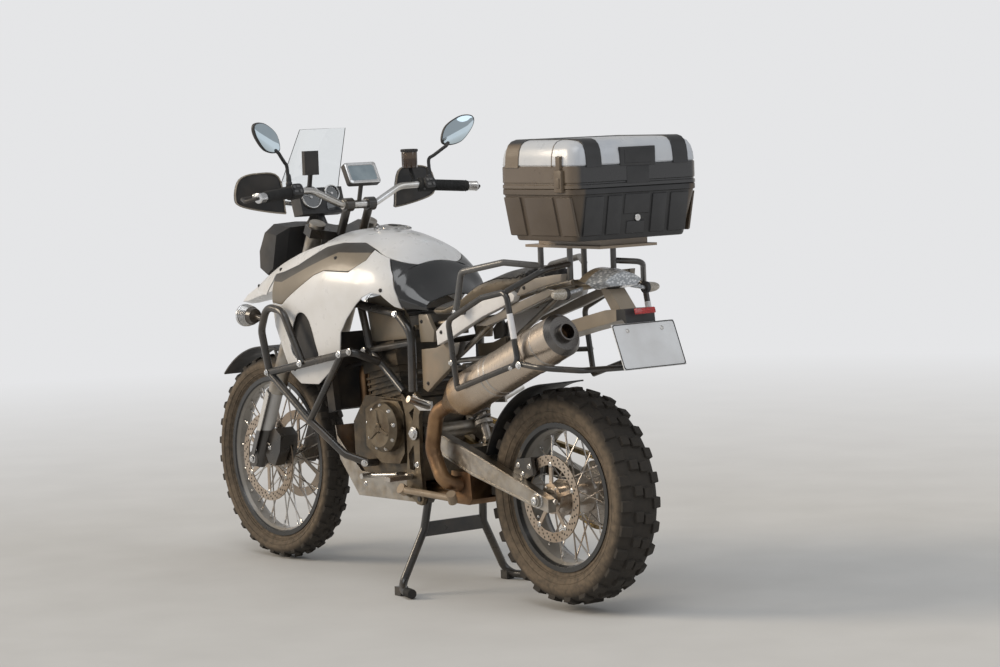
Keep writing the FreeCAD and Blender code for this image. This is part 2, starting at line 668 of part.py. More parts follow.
def radiator():
    core = side_plate([(1030, 560), (1056, 552), (1096, 800), (1070, 806)], -134, 134)
    tanks = [side_plate([(1024, 556), (1064, 546), (1104, 804), (1064, 812)], y, y + 24)
             for y in (-158, 134)]
    lean = math.radians(CYLINDER_LEAN_DEG)
    up = V(math.sin(lean), 0, math.cos(lean))
    on = V(math.cos(lean), 0, -math.sin(lean))
    head_front = CYLINDER_FOOT + up * 150 + on * (96 + SEAT_GAP)
    stays = [rod(head_front + V(0, y, 0), head_front + V(0, y, 0) + on * 140, 6) for y in (90, -90)]
    stubs = [rod(V(1062, side * 150, 690), V(1062, side * (FAIRING_IN_Y - SEAT_GAP), 690), 8)
             for side in (1, -1)]
    return fuse([core] + tanks + stays + stubs)


def skid_plate():
    # An open tray of alloy plate under the engine, turned up in front of the pipes.
    outline = [(646, 284), (960, 280), (1062, 392), (1084, 500), (1080, 501),
               (1058, 396), (958, 286), (646, 290)]
    inner_y = ENGINE_HALF_W + SEAT_GAP
    floor = side_plate(outline, -inner_y - 4, inner_y + 4)
    wall = side_plate([(650, 286), (960, 282), (1062, 392), (1076, 470), (1020, 420),
                       (940, 360), (660, 356)], inner_y, inner_y + 4)
    return fuse([floor, wall, mirrored(wall)])


def crash_bars():
    # Round tube guards in front of each side of the engine and the fairing.
    r = CRASH_BAR_R
    arch = bent_tube([V(1066, 254, 716), V(1160, 262, 884), V(1252, 262, 896), V(1292, 260, 815),
                      V(1264, 252, 676), V(1060, 236, 528), V(920, 200, 424), V(862, 150, 396)],
                     r, 50)
    level = rod(V(1264, 252, 676), V(806, 238, 766), r)
    rear = bent_tube([V(862, 240, 755), V(806, 238, 766), V(793, FRAME_HALF_W + 4, 724)], r, 34)
    seat = rod(V(846, FRAME_HALF_W, 762), V(672, FRAME_HALF_W, 636), FRAME_TUBE_R + SEAT_GAP)
    brace = rod(V(862, 240, 755), V(1060, 236, 528), r - 1.5)
    foot = rod(V(862, 158, 396), V(862, ENGINE_HALF_W + SEAT_GAP, 396), r)
    return both_sides(fuse([arch, level, rear.cut(seat), brace, foot]))


def tank_cover():
    # The white cover over the airbox: arched across, falling away to the nose of the seat.
    stations = [
        (1040, 150, 980, 158, 1060, 1118), (930, 176, 980, 186, 1060, 1146),
        (800, 176, 960, 186, 1040, 1132), (716, 170, 952, 178, 1012, 1098),
        (648, 140, 946, 148, 986, 1046),
    ]
    return arch_body(stations)


def fairings():
    # The white side panels: bulged, with two slots, standing out past the fork's sweep.
    outline = [(1400, 942), (1296, 1012), (1190, 1064), (1060, 1058), (1044, 962), (880, 952),
               (700, 940), (760, 930), (862, 830), (924, 690), (950, 650), (1110, 650),
               (1166, 752), (1216, 880)]
    panel = bulged_panel(outline, [(FAIRING_IN_Y, 0.0), (204, 0.02), (228, 0.12)])
    slots = [[(1180, 880), (1140, 892), (1086, 800), (1070, 720), (1110, 740), (1150, 800)]]
    for slot in slots:
        panel = panel.cut(side_plate(slot, 160, 260))
    return both_sides(panel)


def nose_panel():
    # The gloss black panel between the white cover and the seat.
    stations = [
        (648 - SEAT_GAP, 132, 900, 146, 976, 1040), (600, 122, 890, 136, 940, 990),
        (552 + SEAT_GAP, 112, 884, 126, 912, 944),
    ]
    return arch_body(stations)


def seat():
    # A plain solid for the stepped saddle.
    stations = [
        (552, 96, 880, 112, 900, 930), (490, 100, 884, 128, 898, 922),
        (400, 108, 904, 140, 924, 944), (316, 110, 930, 138, 968, 1000),
        (200, 106, 962, 126, 1000, 1026), (80, 90, 994, 104, 1026, 1046),
    ]
    return arch_body(stations)


def side_covers():
    outline = [(592, 880), (560, 882), (470, 874), (452, 812), (456, 790), (560, 772), (590, 800),
               (596, 840)]
    panel = bulged_panel(outline, [(COVER_IN_Y, 0.0), (121, 0.04)])
    low = bulged_panel([(584, 774), (460, 774), (470, 700), (560, 625), (586, 640)],
                       [(COVER_IN_Y, 0.0), (121, 0.05)])
    return both_sides(fuse([panel, low]))


def tail_panels():
    outline = [(446, 800), (440, 862), (400, 884), (60, 990), (-90, 1034), (-110, 1010),
               (20, 950), (240, 868), (380, 800)]
    panel = bulged_panel(outline, [(TAIL_IN_Y, 0.0), (148, 0.03)])
    return both_sides(panel)


def tail_mudguard():
    # The rear guard under the tail, with the arm that carries the number plate.
    shell = [(230, 740), (150, 780), (40, 820), (-90, 850), (-230, 880), (-316, 900), (-336, 880),
             (-330, 930), (-240, 924), (-90, 890), (40, 856), (150, 816), (236, 770)]
    guard = side_plate(shell, -56, 56)
    arm = side_plate([(-300, 905), (-250, 905), (-190, 983.7), (-230, 983.7)], -30, 30)
    down, out = plate_ways()
    back = PLATE_TOP - out * (PLATE_THICK_MM + SEAT_GAP)
    low = back + down * 120
    holder = side_plate([(p.x, p.z) for p in (back, low, low - out * 4, V(-318, 0, 880))], -90, 90)
    return fuse([guard, arm, holder])


def tail_lamp():
    stations = [(-160, 60, 1000, 88, 1010, 1046), (-210, 64, 984, 92, 1000, 1044),
                (-262, 50, 994, 70, 1008, 1034)]
    lens = arch_body(stations)
    stalks = []
    for side in (1, -1):
        root = V(-176, side * 48, 996)
        out = V(-180, side * 150, 976)
        stalks.append(rod(root, out, 6))
        stalks.append(cone(out, out + V(0, side * 54, 0), 17, 8))
    return fuse([lens] + stalks)


def plate_ways():
    # Unit vectors down along the number plate and out of its face.
    down = (PLATE_BOTTOM - PLATE_TOP).normalize()
    return down, V(down.z, 0, -down.x)


def number_plate():
    down, out = plate_ways()
    top = PLATE_TOP - V(0, PLATE_HALF_W, 0)
    bottom = PLATE_BOTTOM - V(0, PLATE_HALF_W, 0)
    corners = [top, bottom, bottom - out * PLATE_THICK_MM, top - out * PLATE_THICK_MM]
    return Part.Face(Part.makePolygon(corners + corners[:1])).extrude(V(0, 2 * PLATE_HALF_W, 0))


def pannier_racks():
    # A loop of tube on each side and the bars that tie both loops behind the plate.
    y = RACK_Y
    loop = [V(80, y, 964), V(-40, y, 986), V(-88, y, 776), V(214, y, 684), V(250, y, 890),
            V(80, y, 964)]
    first = bent_tube(loop[:4], RACK_TUBE_R, 26)
    second = bent_tube([loop[3], loop[4], loop[5]], RACK_TUBE_R, 26)
    hook = rod(V(232, y, 762), V(436, 112, 756), RACK_TUBE_R - 1)
    back = bent_tube([V(-88, y, 776), V(-206, y, 768), V(-262, 170, 756), V(-268, 0, 752)],
                     RACK_TUBE_R, 60)
    top = bent_tube([V(-40, y, 986), V(-130, 190, 1050), V(-118, SUBFRAME_Y, 1060)], RACK_TUBE_R, 50)
    post = rod(V(-118, SUBFRAME_Y, 1000), V(-118, SUBFRAME_Y, 1110), CARRIER_POST_R + SEAT_GAP)
    side = fuse([first, second, hook, back, top.cut(post)])
    return fuse([side, mirrored(side)])


def luggage_carrier():
    # The carrier plate on its posts, the case's base and the passenger's grab rails.
    plate = side_plate([(60, 1108), (60, 1116), (-290, 1116), (-290, 1108)], -110, 110)
    base = side_plate([(20, 1116), (20, 1134.7), (-270, 1134.7), (-270, 1116)], -90, 90)
    y = SUBFRAME_Y
    rail = bent_tube([V(20, y, 1050), V(120, 150, 1062), V(300, 174, 1030), V(326, 180, 905),
                      V(326, 148 + SEAT_GAP, 905)], 10, 24)
    posts = [rod(V(x, y, z), V(x, y, 1110), CARRIER_POST_R) for x, z in ((-118, 1004), (20, 980))]
    side = fuse(posts + [rail]).cut(rod(V(60, y, 972), V(-140, y, 1006.7), SUBFRAME_R + SEAT_GAP))
    side = side.cut(rod(V(-126, -100, 1004), V(-126, 100, 1004), SUBFRAME_R - 2 + SEAT_GAP))
    return fuse([plate, base, side, mirrored(side)])


def case_tub():
    # The top case's hollow lower shell with ribbed sides.
    front, rear, half = CASE_FRONT_X, CASE_REAR_X, CASE_HALF_W
    floor, seam = CASE_FLOOR_Z, CASE_SEAM_Z

    def shell(inset):
        low = [V(rear + 26 + inset, -half + 30 + inset, floor + inset),
               V(front - 26 - inset, -half + 30 + inset, floor + inset),
               V(front - 26 - inset, half - 30 - inset, floor + inset),
               V(rear + 26 + inset, half - 30 - inset, floor + inset)]
        high = [V(rear + inset, -half + inset, seam), V(front - inset, -half + inset, seam),
                V(front - inset, half - inset, seam), V(rear + inset, half - inset, seam)]
        wires = [Part.makePolygon(corners + corners[:1]) for corners in (low, high)]
        return Part.makeLoft(wires, True, True)

    tub = shell(0).cut(shell(CASE_WALL))
    return tub


def case_lid():
    # The hollow lid, hinged along the case's front edge.
    front, rear, half = CASE_FRONT_X, CASE_REAR_X, CASE_HALF_W
    seam, top = CASE_SEAM_Z + SEAT_GAP, CASE_TOP_Z

    def shell(inset):
        rows = ((seam, 0), (seam + 90, 4), (top - inset, 44))
        wires = []
        for z, draw in rows:
            d = draw + inset
            corners = [V(rear + d, -half + d, z), V(front - d, -half + d, z),
                       V(front - d, half - d, z), V(rear + d, half - d, z)]
            wires.append(Part.makePolygon(corners + corners[:1]))
        return Part.makeLoft(wires, True, True)

    return shell(0).cut(shell(CASE_WALL))


def swingarm():
    # Two tapering beams, the pivot tube and bolt, the cross brace and the rear axle.
    rise = (SWINGARM_PIVOT.z - REAR_AXLE.z) / SWINGARM_PIVOT.x
    stations = [(-50, 112, 142, 20), (40, 112, 142, 26), (330, 104, 138, 37), (560, 86, 122, 30),
                (632, 86, 122, 22)]
    wires = []
    for x, y_in, y_out, half in stations:
        z = REAR_AXLE.z + x * rise
        corners = [V(x, y_in, z - half), V(x, y_out, z - half), V(x, y_out, z + half),
                   V(x, y_in, z + half)]
        wires.append(Part.makePolygon(corners + corners[:1]))
    beam = Part.makeLoft(wires, True, True)
    z = REAR_AXLE.z + 400 * rise
    brace = box(362, 430, -100, 100, z - 26, z + 26)
    tube = cross_rod(SWINGARM_PIVOT, -90, 90, 24)
    bolt = cross_rod(SWINGARM_PIVOT, -FRAME_HALF_W - 14, FRAME_HALF_W + 14, SWINGARM_PIVOT_R)
    axle = cross_rod(REAR_AXLE, -154, 154, REAR_AXLE_R)
    nuts = [cross_rod(REAR_AXLE, y, y + 12, 19) for y in (142, -154)]
    return fuse([beam, mirrored(beam), brace, tube, bolt, axle] + nuts)


def chain():
    # The chain as one loop round both sprockets.
    front = FRONT_SPROCKET
    rear = REAR_AXLE + V(0, SPROCKET_Y, 0)
    front_r = pitch_radius(FRONT_SPROCKET_TEETH)
    rear_r = pitch_radius(REAR_SPROCKET_TEETH)
    link = 7.0

    def loop(grow):
        discs = [cross_rod(front, -9, 9, front_r + grow), cross_rod(rear, -9, 9, rear_r + grow)]
        way = rear - front
        tilt = math.atan2(way.z, way.x)
        lean = math.acos((front_r - rear_r) / way.Length)
        corners = []
        for centre, radius in ((front, front_r + grow), (rear, rear_r + grow)):
            for sign in (1, -1):
                angle = tilt + sign * lean
                corners.append(V(centre.x + radius * math.cos(angle), front.y - 9,
                                 centre.z + radius * math.sin(angle)))
        outline = [corners[0], corners[2], corners[3], corners[1]]
        slab = Part.Face(Part.makePolygon(outline + outline[:1])).extrude(V(0, 18, 0))
        return fuse(discs + [slab])

    return loop(link).cut(loop(-link))


def shock():
    top = V(510, 0, 712)
    low = V(420, 0, 492)
    spring = rod(low + (top - low) * 0.25, low + (top - low) * 0.8, 30)
    clevis = box(404, 436, -16, 16, 478 + SEAT_GAP, 500)
    head = box(498, 528, -16, 16, 704, 727 - SEAT_GAP)
    return fuse([spring, rod(low, top, 14), clevis, head])


def rear_caliper():
    c = REAR_AXLE
    outline = [(c.x + 60, c.z + 70), (c.x + 120, c.z + 44), (c.x + 158, c.z + 70),
               (c.x + 140, c.z + 112), (c.x + 70, c.z + 122)]
    y_in = REAR_DISC_Y - 20
    body = side_plate(outline, y_in, REAR_DISC_Y + 20.4)
    air = V(0, DISC_THICK / 2 + AIR_GAP, 0)
    middle = c + V(0, REAR_DISC_Y, 0)
    slot = rod(middle - air, middle + air, REAR_DISC_R + AIR_GAP)
    return body.cut(slot)


def hugger():
    c = REAR_AXLE
    inner_r = REAR_TYRE_R + 12
    shell = ring(c + V(0, -80, 0), c + V(0, 80, 0), inner_r + 5, inner_r)
    outline = [(c.x, c.z)]
    for degrees in (6, 40, 72):
        angle = math.radians(degrees)
        outline.append((c.x + math.sin(angle) * 900, c.z + math.cos(angle) * 900))
    tab = box(325, 362 - SEAT_GAP, -40, 40, 452, 458)
    return fuse([shell.common(side_plate(outline, -90, 90)), tab])


def foot_controls():
    # Rider's pegs, passenger's pegs, gear lever and brake pedal.
    y = FRAME_HALF_W + PLATE_THICK / 2
    peg = box(622, 656, y + 10, y + 96, 362, 376)
    stem = rod(V(640, y, 370), V(640, y + 20, 370), 10)
    hanger = side_plate([(604, 634), (566, 620), (512, 616), (508, 588), (572, 584), (610, 604)],
                        y + SEAT_GAP, y + 8)
    rear_peg = rod(V(526, y + 6, 600), V(526, y + 84, 630), 11)
    lever = rod(V(706, y + 10, 370), V(830, y + 24, 360), 6)
    lever_pin = rod(V(706, ENGINE_HALF_W + SEAT_GAP, 370), V(706, y + 14, 370), 7)
    toe = rod(V(830, y + 10, 360), V(830, y + 60, 360), 9)
    side = fuse([peg, stem])
    rear = fuse([hanger, rear_peg])
    left_lever = fuse([lever, lever_pin, toe])
    return Part.makeCompound([side, mirrored(side), rear, mirrored(rear), left_lever,
                              mirrored(left_lever)])


def headlight():
    # Twin reflectors in one shell, carried ahead of the head tube.
    shell = bulged_panel(HEADLIGHT_OUTLINE, [(0, 0.0), (90, 0.04), (130, 0.3)])
    return fuse([shell, mirrored(shell)])


def cockpit():
    # Instruments behind the screen, and the stays to the head tube, headlight and screen.
    dash = side_plate([(1274, 1190), (1326, 1180), (1350, 1250), (1300, 1276)], -88, 88)
    stay = rod(axis_point(1150, 10), V(1310, 0, 1200), 11)
    stay = stay.cut(rod(axis_point(1050), axis_point(1250), HEAD_TUBE_R + SEAT_GAP))
    back = 1350 - SEAT_GAP
    bracket = side_plate([(back, 1150), (back + 20, 1070), (1355, 1075), (1318, 1184)], -30, 30)
    holder = fuse([rod(V(1290, 50, 1262), V(1262, 60, 1330), 8),
                   box(1250, 1266, 34, 90, 1320, 1400)])
    clips = [rod(V(1330, y, 1222), V(1430, y, 1226), 7) for y in (64, -64)]
    clips = fuse(clips).cut(screen_solid(-SCREEN_THICK - SEAT_GAP, 60))
    return fuse([dash, stay, bracket, holder] + clips.Solids)


def screen_solid(inner, outer):
    # The windscreen's curve, between two distances ahead of its middle surface.
    wires = []
    for x, z, half, back in ((1438, 1210, 118, 60), (1404, 1300, 116, 50), (1297, 1472, 92, 26)):
        arcs = []
        for out in (outer, inner):
            arcs.append([V(x - back + out, half, z), V(x + out, 0, z), V(x - back + out, -half, z)])
        front, rear = arcs
        wires.append(Part.Wire([Part.Arc(*front).toShape(),
                                Part.LineSegment(front[2], rear[2]).toShape(),
                                Part.Arc(*rear[::-1]).toShape(),
                                Part.LineSegment(rear[0], front[0]).toShape()]))
    return Part.makeLoft(wires, True, True)


def windscreen():
    return screen_solid(-SCREEN_THICK, 0)


def aux_lamps():
    # Round lamps on short arms from the crash bars.
    bar = rod(V(1252, 262, 896), V(1292, 260, 815), CRASH_BAR_R + SEAT_GAP)
    back = V(1352, 262, 862)
    lamp = cone(back - V(30, 0, 0), back + V(30, 0, 0), 24, 36)
    arm = rod(back - V(28, 0, 0), V(1270, 262, 852), 8).cut(bar)
    return both_sides(fuse([lamp, max(arm.Solids, key=lambda piece: piece.BoundBox.XMax)]))


def beak():
    outline = [(1390, 992), (1500, 1000), (1570, 960), (1700, 900), (1740, 870), (1700, 874),
               (1500, 925), (1420, 945)]
    lamp = side_plate([(x, z - SEAT_GAP) for x, z in HEADLIGHT_OUTLINE], -90, 90)
    return bulged_panel(outline, [(-60, 0.2), (0, 0.0), (60, 0.2)]).cut(lamp)


def centre_stand():
    # Two bent legs, the runners that turn back from them, their feet ahead of the pivot,
    # the cross plate and the pivot pins.
    y_pivot = 108
    pivot = STAND_PIVOT
    foot_z = STAND_TUBE_R + STAND_RUNNER_LIFT
    leg = bent_tube([V(pivot.x, y_pivot, pivot.z), V(614, 118, 200), V(622, 214, foot_z),
                     V(526, 240, foot_z)], STAND_TUBE_R, 44)
    eye = cross_rod(pivot, 96, 122, 17)
    pin = cross_rod(pivot, 100, FRAME_HALF_W + PLATE_THICK / 2 + 4, STAND_PIN_R)
    plate = box(608, 616, -124, 124, 176, 222)
    foot = box(pivot.x + 4, pivot.x + 36, 198, 228, 0, 28)
    side = fuse([leg, eye, pin, foot])
    return fuse([side, mirrored(side), plate])


def side_stand():
    # The prop stand, folded back along the left side.
    pivot = SIDE_STAND_PIVOT
    axis = V(SIDE_STAND_AXIS).normalize()
    end = pivot + V(-SIDE_STAND_LENGTH, 6, -4)
    leg = rod(pivot + axis * 12 + V(-4, 0, 0), end + axis * 12, 11)
    eye = rod(pivot + axis * SEAT_GAP, pivot + axis * 24, 17)
    foot = rod(end + V(0, 4, -6), end + V(-14, 22, 22), 15)
    return fuse([leg, eye, foot])


nodes = {
    "front_tyre": front_tyre(),
    "front_rim": rim(FRONT_RIM_R, FRONT_RIM_HALF_W, FRONT_WELL_R, FRONT_AXLE),
    "front_hub_spokes": front_hub(),
    "front_discs": front_discs(),
    "rear_tyre": rear_tyre(),
    "rear_rim": rim(REAR_RIM_R, REAR_RIM_HALF_W, REAR_WELL_R, REAR_AXLE),
    "rear_hub_spokes": rear_hub(),
    "rear_disc": rear_disc(),
    "rear_sprocket": rear_sprocket(),
    "fork_clamps": fork_clamps(),
    "fork_tubes": fork_tubes(),
    "fork_sliders": fork_sliders(),
    "front_calipers": front_calipers(),
    "front_mudguard": front_mudguard(),
    "handlebar": handlebar(),
    "hand_controls": hand_controls(),
    "handguards": handguards(),
    "mirrors": mirrors(),
    "nav_unit": nav_unit(),
    "frame": frame(),
    "pivot_plates": pivot_plate_pair(),
    "subframe": subframe(),
    "engine": engine(),
    "engine_covers": engine_covers(),
    "exhaust_header": exhaust_header(),
    "muffler": muffler(),
    "radiator": radiator(),
    "skid_plate": skid_plate(),
    "crash_bars": crash_bars(),
    "tank_cover": tank_cover(),
    "fairings": fairings(),
    "nose_panel": nose_panel(),
    "seat": seat(),
    "side_covers": side_covers(),
    "tail_panels": tail_panels(),
    "tail_mudguard": tail_mudguard(),
    "tail_lamp": tail_lamp(),
    "number_plate": number_plate(),
    "pannier_racks": pannier_racks(),
    "luggage_carrier": luggage_carrier(),
    "case_tub": case_tub(),
    "case_lid": case_lid(),
    "swingarm": swingarm(),
    "chain": chain(),
    "shock": shock(),
    "rear_caliper": rear_caliper(),
    "hugger": hugger(),
    "foot_controls": foot_controls(),
    "headlight": headlight(),
    "cockpit": cockpit(),
    "windscreen": windscreen(),
    "aux_lamps": aux_lamps(),
    "beak": beak(),
    "centre_stand": centre_stand(),
    "side_stand": side_stand(),
}

# The origin moves to the middle of the length, on the ground.
front_end = WHEELBASE + FRONT_TYRE_R
shift = -(front_end + PLATE_BOTTOM.x) / 2
os.makedirs("parts", exist_ok=True)
for name, shape in nodes.items():
    shape.translated(V(shift, 0, 0)).exportStep("parts/" + name + ".step")
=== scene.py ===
import json
import math

import bmesh
import bpy
from mathutils import Matrix, Vector, geometry
from mathutils.bvhtree import BVHTree


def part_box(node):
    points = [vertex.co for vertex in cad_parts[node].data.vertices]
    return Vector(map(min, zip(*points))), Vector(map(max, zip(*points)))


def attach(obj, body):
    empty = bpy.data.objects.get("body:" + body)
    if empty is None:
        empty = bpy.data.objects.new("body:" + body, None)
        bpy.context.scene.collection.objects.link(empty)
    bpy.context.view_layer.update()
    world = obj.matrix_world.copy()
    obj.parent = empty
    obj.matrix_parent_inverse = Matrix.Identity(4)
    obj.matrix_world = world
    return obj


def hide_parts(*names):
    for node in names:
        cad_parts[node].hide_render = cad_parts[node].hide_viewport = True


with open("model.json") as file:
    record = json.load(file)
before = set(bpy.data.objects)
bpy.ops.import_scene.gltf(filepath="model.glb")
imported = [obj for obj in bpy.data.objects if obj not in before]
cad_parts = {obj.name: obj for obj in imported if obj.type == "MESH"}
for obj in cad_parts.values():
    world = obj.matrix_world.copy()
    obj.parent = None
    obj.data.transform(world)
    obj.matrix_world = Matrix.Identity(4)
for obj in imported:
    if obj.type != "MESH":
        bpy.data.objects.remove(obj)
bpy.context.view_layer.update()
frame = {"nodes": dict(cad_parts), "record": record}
nodes = frame["nodes"]
SIDES = ((1, "left"), (-1, "right"))

# The photograph's camera, in the object's frame: place in metres, turn and tilt in degrees.
CAMERA_PLACE = Vector((-7.7762, 5.7014, 1.576))
CAMERA_AZIMUTH = 52.2
CAMERA_DOWN = 4.61
CAMERA_ROLL = -1.91
CAMERA_LENS = 108.0
CAMERA_SENSOR = 36.0


def wheel(tyre):
    """A wheel's axle and its outer radius."""
    low, high = (Vector(corner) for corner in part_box(tyre))
    axle = (low + high) / 2
    return axle, high.z - axle.z


FRONT_AXLE, FRONT_R = wheel("front_tyre")
REAR_AXLE, REAR_R = wheel("rear_tyre")


def at(x, y, z):
    """A place in millimetres ahead of the rear axle, to the left, and up from the ground."""
    return Vector((REAR_AXLE.x + x / 1000, y / 1000, z / 1000))


# Materials. Edges are shaded as if rounded by this radius.
EDGE = 0.0012


class Shader:
    """Builds one material's node tree around a Principled shader."""

    def __init__(self, name, colour, rough=0.5, metal=0.0):
        self.material = bpy.data.materials.new(name)
        self.material.use_nodes = True
        self.tree = self.material.node_tree
        self.shader = self.tree.nodes["Principled BSDF"]
        self.place = self.new("ShaderNodeTexCoord").outputs["Object"]
        self.set("Base Color", (*colour, 1.0))
        self.set("Roughness", rough)
        self.set("Metallic", metal)
        self.material.diffuse_color = (*colour, 1.0)

    def new(self, kind, **values):
        """A new node, with these of its properties set."""
        node = self.tree.nodes.new(kind)
        for key, value in values.items():
            setattr(node, key, value)
        return node

    def set(self, socket, value):
        """A plain value for one of the shader's sockets."""
        self.shader.inputs[socket].default_value = value

    def link(self, start, end):
        self.tree.links.new(start, end)

    def feed(self, value, socket):
        """A number, a colour or another node's output into a socket."""
        if isinstance(value, (int, float)):
            socket.default_value = value
        elif isinstance(value, tuple):
            socket.default_value = (*value, 1.0)
        else:
            self.link(value, socket)

    def math(self, operation, first, second=0.0):
        node = self.new("ShaderNodeMath", operation=operation)
        self.feed(first, node.inputs[0])
        self.feed(second, node.inputs[1])
        return node.outputs["Value"]

    def scaled(self, factors):
        """The object's coordinates, stretched along each axis."""
        node = self.new("ShaderNodeMapping")
        node.inputs["Scale"].default_value = factors
        self.link(self.place, node.inputs["Vector"])
        return node.outputs["Vector"]

    def noise(self, scale, detail=4.0, stretch=(1, 1, 1)):
        """A cloudy pattern."""
        node = self.new("ShaderNodeTexNoise")
        node.inputs["Scale"].default_value = scale
        node.inputs["Detail"].default_value = detail
        self.link(self.scaled(stretch), node.inputs["Vector"])
        return node.outputs["Fac"]

    def cells(self, scale, stretch=(1, 1, 1)):
        """A pattern of cells."""
        node = self.new("ShaderNodeTexVoronoi")
        node.inputs["Scale"].default_value = scale
        self.link(self.scaled(stretch), node.inputs["Vector"])
        return node.outputs["Distance"]

    def ramp(self, value, low, high, start=0.0, end=1.0):
        """A value between low and high, carried over to start and end."""
        node = self.new("ShaderNodeMapRange")
        node.inputs["From Min"].default_value = low
        node.inputs["From Max"].default_value = high
        node.inputs["To Min"].default_value = start
        node.inputs["To Max"].default_value = end
        self.link(value, node.inputs["Value"])
        return node.outputs["Result"]

    def mix(self, share, first, second):
        """The first colour, and the second where share is one."""
        node = self.new("ShaderNodeMix", data_type="RGBA")
        self.feed(share, node.inputs[0])
        self.feed(first, node.inputs[6])
        self.feed(second, node.inputs[7])
        return node.outputs[2]

    def axis(self, name):
        """The place along one axis, in metres."""
        split = self.new("ShaderNodeSeparateXYZ")
        self.link(self.place, split.inputs["Vector"])
        return split.outputs[name]

    def side(self):
        """The distance from the middle plane."""
        return self.math("ABSOLUTE", self.axis("Y"))

    def along(self, start, way):
        """The distance from a point along a direction."""
        node = self.new("ShaderNodeVectorMath", operation="DOT_PRODUCT")
        self.link(self.place, node.inputs[0])
        node.inputs[1].default_value = way
        return self.math("SUBTRACT", node.outputs["Value"], start.dot(way))

    def from_axle(self, axle):
        """The distance from a wheel's axle."""
        shift = self.new("ShaderNodeVectorMath", operation="SUBTRACT")
        self.link(self.place, shift.inputs[0])
        shift.inputs[1].default_value = axle
        flat = self.new("ShaderNodeVectorMath", operation="MULTIPLY")
        self.link(shift.outputs["Vector"], flat.inputs[0])
        flat.inputs[1].default_value = (1, 0, 1)
        length = self.new("ShaderNodeVectorMath", operation="LENGTH")
        self.link(flat.outputs["Vector"], length.inputs[0])
        return length.outputs["Value"]

    def between(self, value, low, high, soft=0.001):
        """A mask of the values from low to high."""
        rise = self.ramp(value, low - soft, low + soft)
        fall = self.ramp(value, high - soft, high + soft, 1.0, 0.0)
        return self.math("MULTIPLY", rise, fall)

    def colour(self, output):
        self.feed(output, self.shader.inputs["Base Color"])

    def roughness(self, output):
        self.feed(output, self.shader.inputs["Roughness"])

    def bump(self, height, distance, strength=1.0, rounding=0.0):
        """A surface relief, on edges shaded as rounded."""
        node = self.new("ShaderNodeBump")
        node.inputs["Distance"].default_value = distance
        node.inputs["Strength"].default_value = strength
        self.link(height, node.inputs["Height"])
        if rounding:
            edge = self.new("ShaderNodeBevel", samples=4)
            edge.inputs["Radius"].default_value = rounding
            self.link(edge.outputs["Normal"], node.inputs["Normal"])
        self.link(node.outputs["Normal"], self.shader.inputs["Normal"])


def coated(name, colour, worn, rough, coat=0.0, grain=1400.0, relief=0.00012, metal=0.0):
    """Paint or moulded plastic: a slow colour drift, an uneven gloss and a fine grain."""
    s = Shader(name, colour, rough, metal)
    s.colour(s.mix(s.ramp(s.noise(9.0, 6.0), 0.42, 0.72), colour, worn))
    s.roughness(s.ramp(s.noise(34.0, 5.0), 0.3, 0.7, rough - 0.06, rough + 0.1))
    s.bump(s.noise(grain, 2.0), relief, 0.5, EDGE)
    s.set("Coat Weight", coat)
    s.set("Coat Roughness", 0.12)
    return s.material


def cast_metal(name, colour, worn, rough=0.42):
    """Cast or machined alloy: grainy, with darker oily patches."""
    s = Shader(name, colour, rough, 1.0)
    s.colour(s.mix(s.ramp(s.noise(16.0, 8.0), 0.4, 0.66), colour, worn))
    s.roughness(s.ramp(s.noise(60.0, 6.0), 0.3, 0.7, rough - 0.08, rough + 0.16))
    s.bump(s.noise(900.0, 3.0), 0.0003, 0.6, EDGE)
    return s.material


def brushed(name, colour, worn, rough=0.28):
    """Brushed metal: fine scratches along X and a faint stain."""
    s = Shader(name, colour, rough, 1.0)
    s.colour(s.mix(s.ramp(s.noise(7.0, 5.0), 0.42, 0.75), colour, worn))
    lines = s.noise(30.0, 6.0, (1, 40, 40))
    s.roughness(s.ramp(lines, 0.25, 0.75, rough - 0.08, rough + 0.14))
    s.bump(lines, 0.0001, 0.4, 0.0008)
    return s.material


def dusty_tyre(name, axle, radius, clean_from):
    """Rubber under road dust: tan sidewalls, darker tread blocks."""
    rubber = (0.018, 0.016, 0.014)
    dust = (0.2, 0.15, 0.1)
    s = Shader(name, rubber, 0.85)
    away = s.from_axle(axle)
    share = s.math("MULTIPLY", s.ramp(s.noise(60.0, 8.0), 0.25, 0.62, 0.35, 0.95),
                   s.ramp(s.noise(6.0, 4.0), 0.25, 0.6, 0.55, 1.0))
    wall = s.ramp(away, radius - clean_from, radius - clean_from * 0.55, 0.8, 0.1)
    s.colour(s.mix(s.math("MULTIPLY", share, wall), rubber, dust))
    s.bump(s.noise(420.0, 6.0), 0.0008, 0.6, 0.0015)
    return s.material


def heat_tinted():
    """Exhaust steel, tanned by heat in slow bands."""
    tan = (0.34, 0.21, 0.115)
    brown = (0.15, 0.09, 0.055)
    s = Shader("heat_tinted_steel", tan, 0.38, 1.0)
    s.colour(s.mix(s.ramp(s.noise(11.0, 5.0), 0.35, 0.7), tan, brown))
    s.roughness(s.ramp(s.noise(50.0, 6.0), 0.3, 0.7, 0.3, 0.55))
    s.bump(s.noise(300.0, 4.0), 0.0002, 0.5)
    return s.material


# The muffler's axis, from its front end to its tail.
MUFFLER_FRONT = at(292, 184, 652)
MUFFLER_TAIL = at(-190, 184, 858)
MUFFLER_WAY = (MUFFLER_TAIL - MUFFLER_FRONT).normalized()
MUFFLER_LENGTH = (MUFFLER_TAIL - MUFFLER_FRONT).length


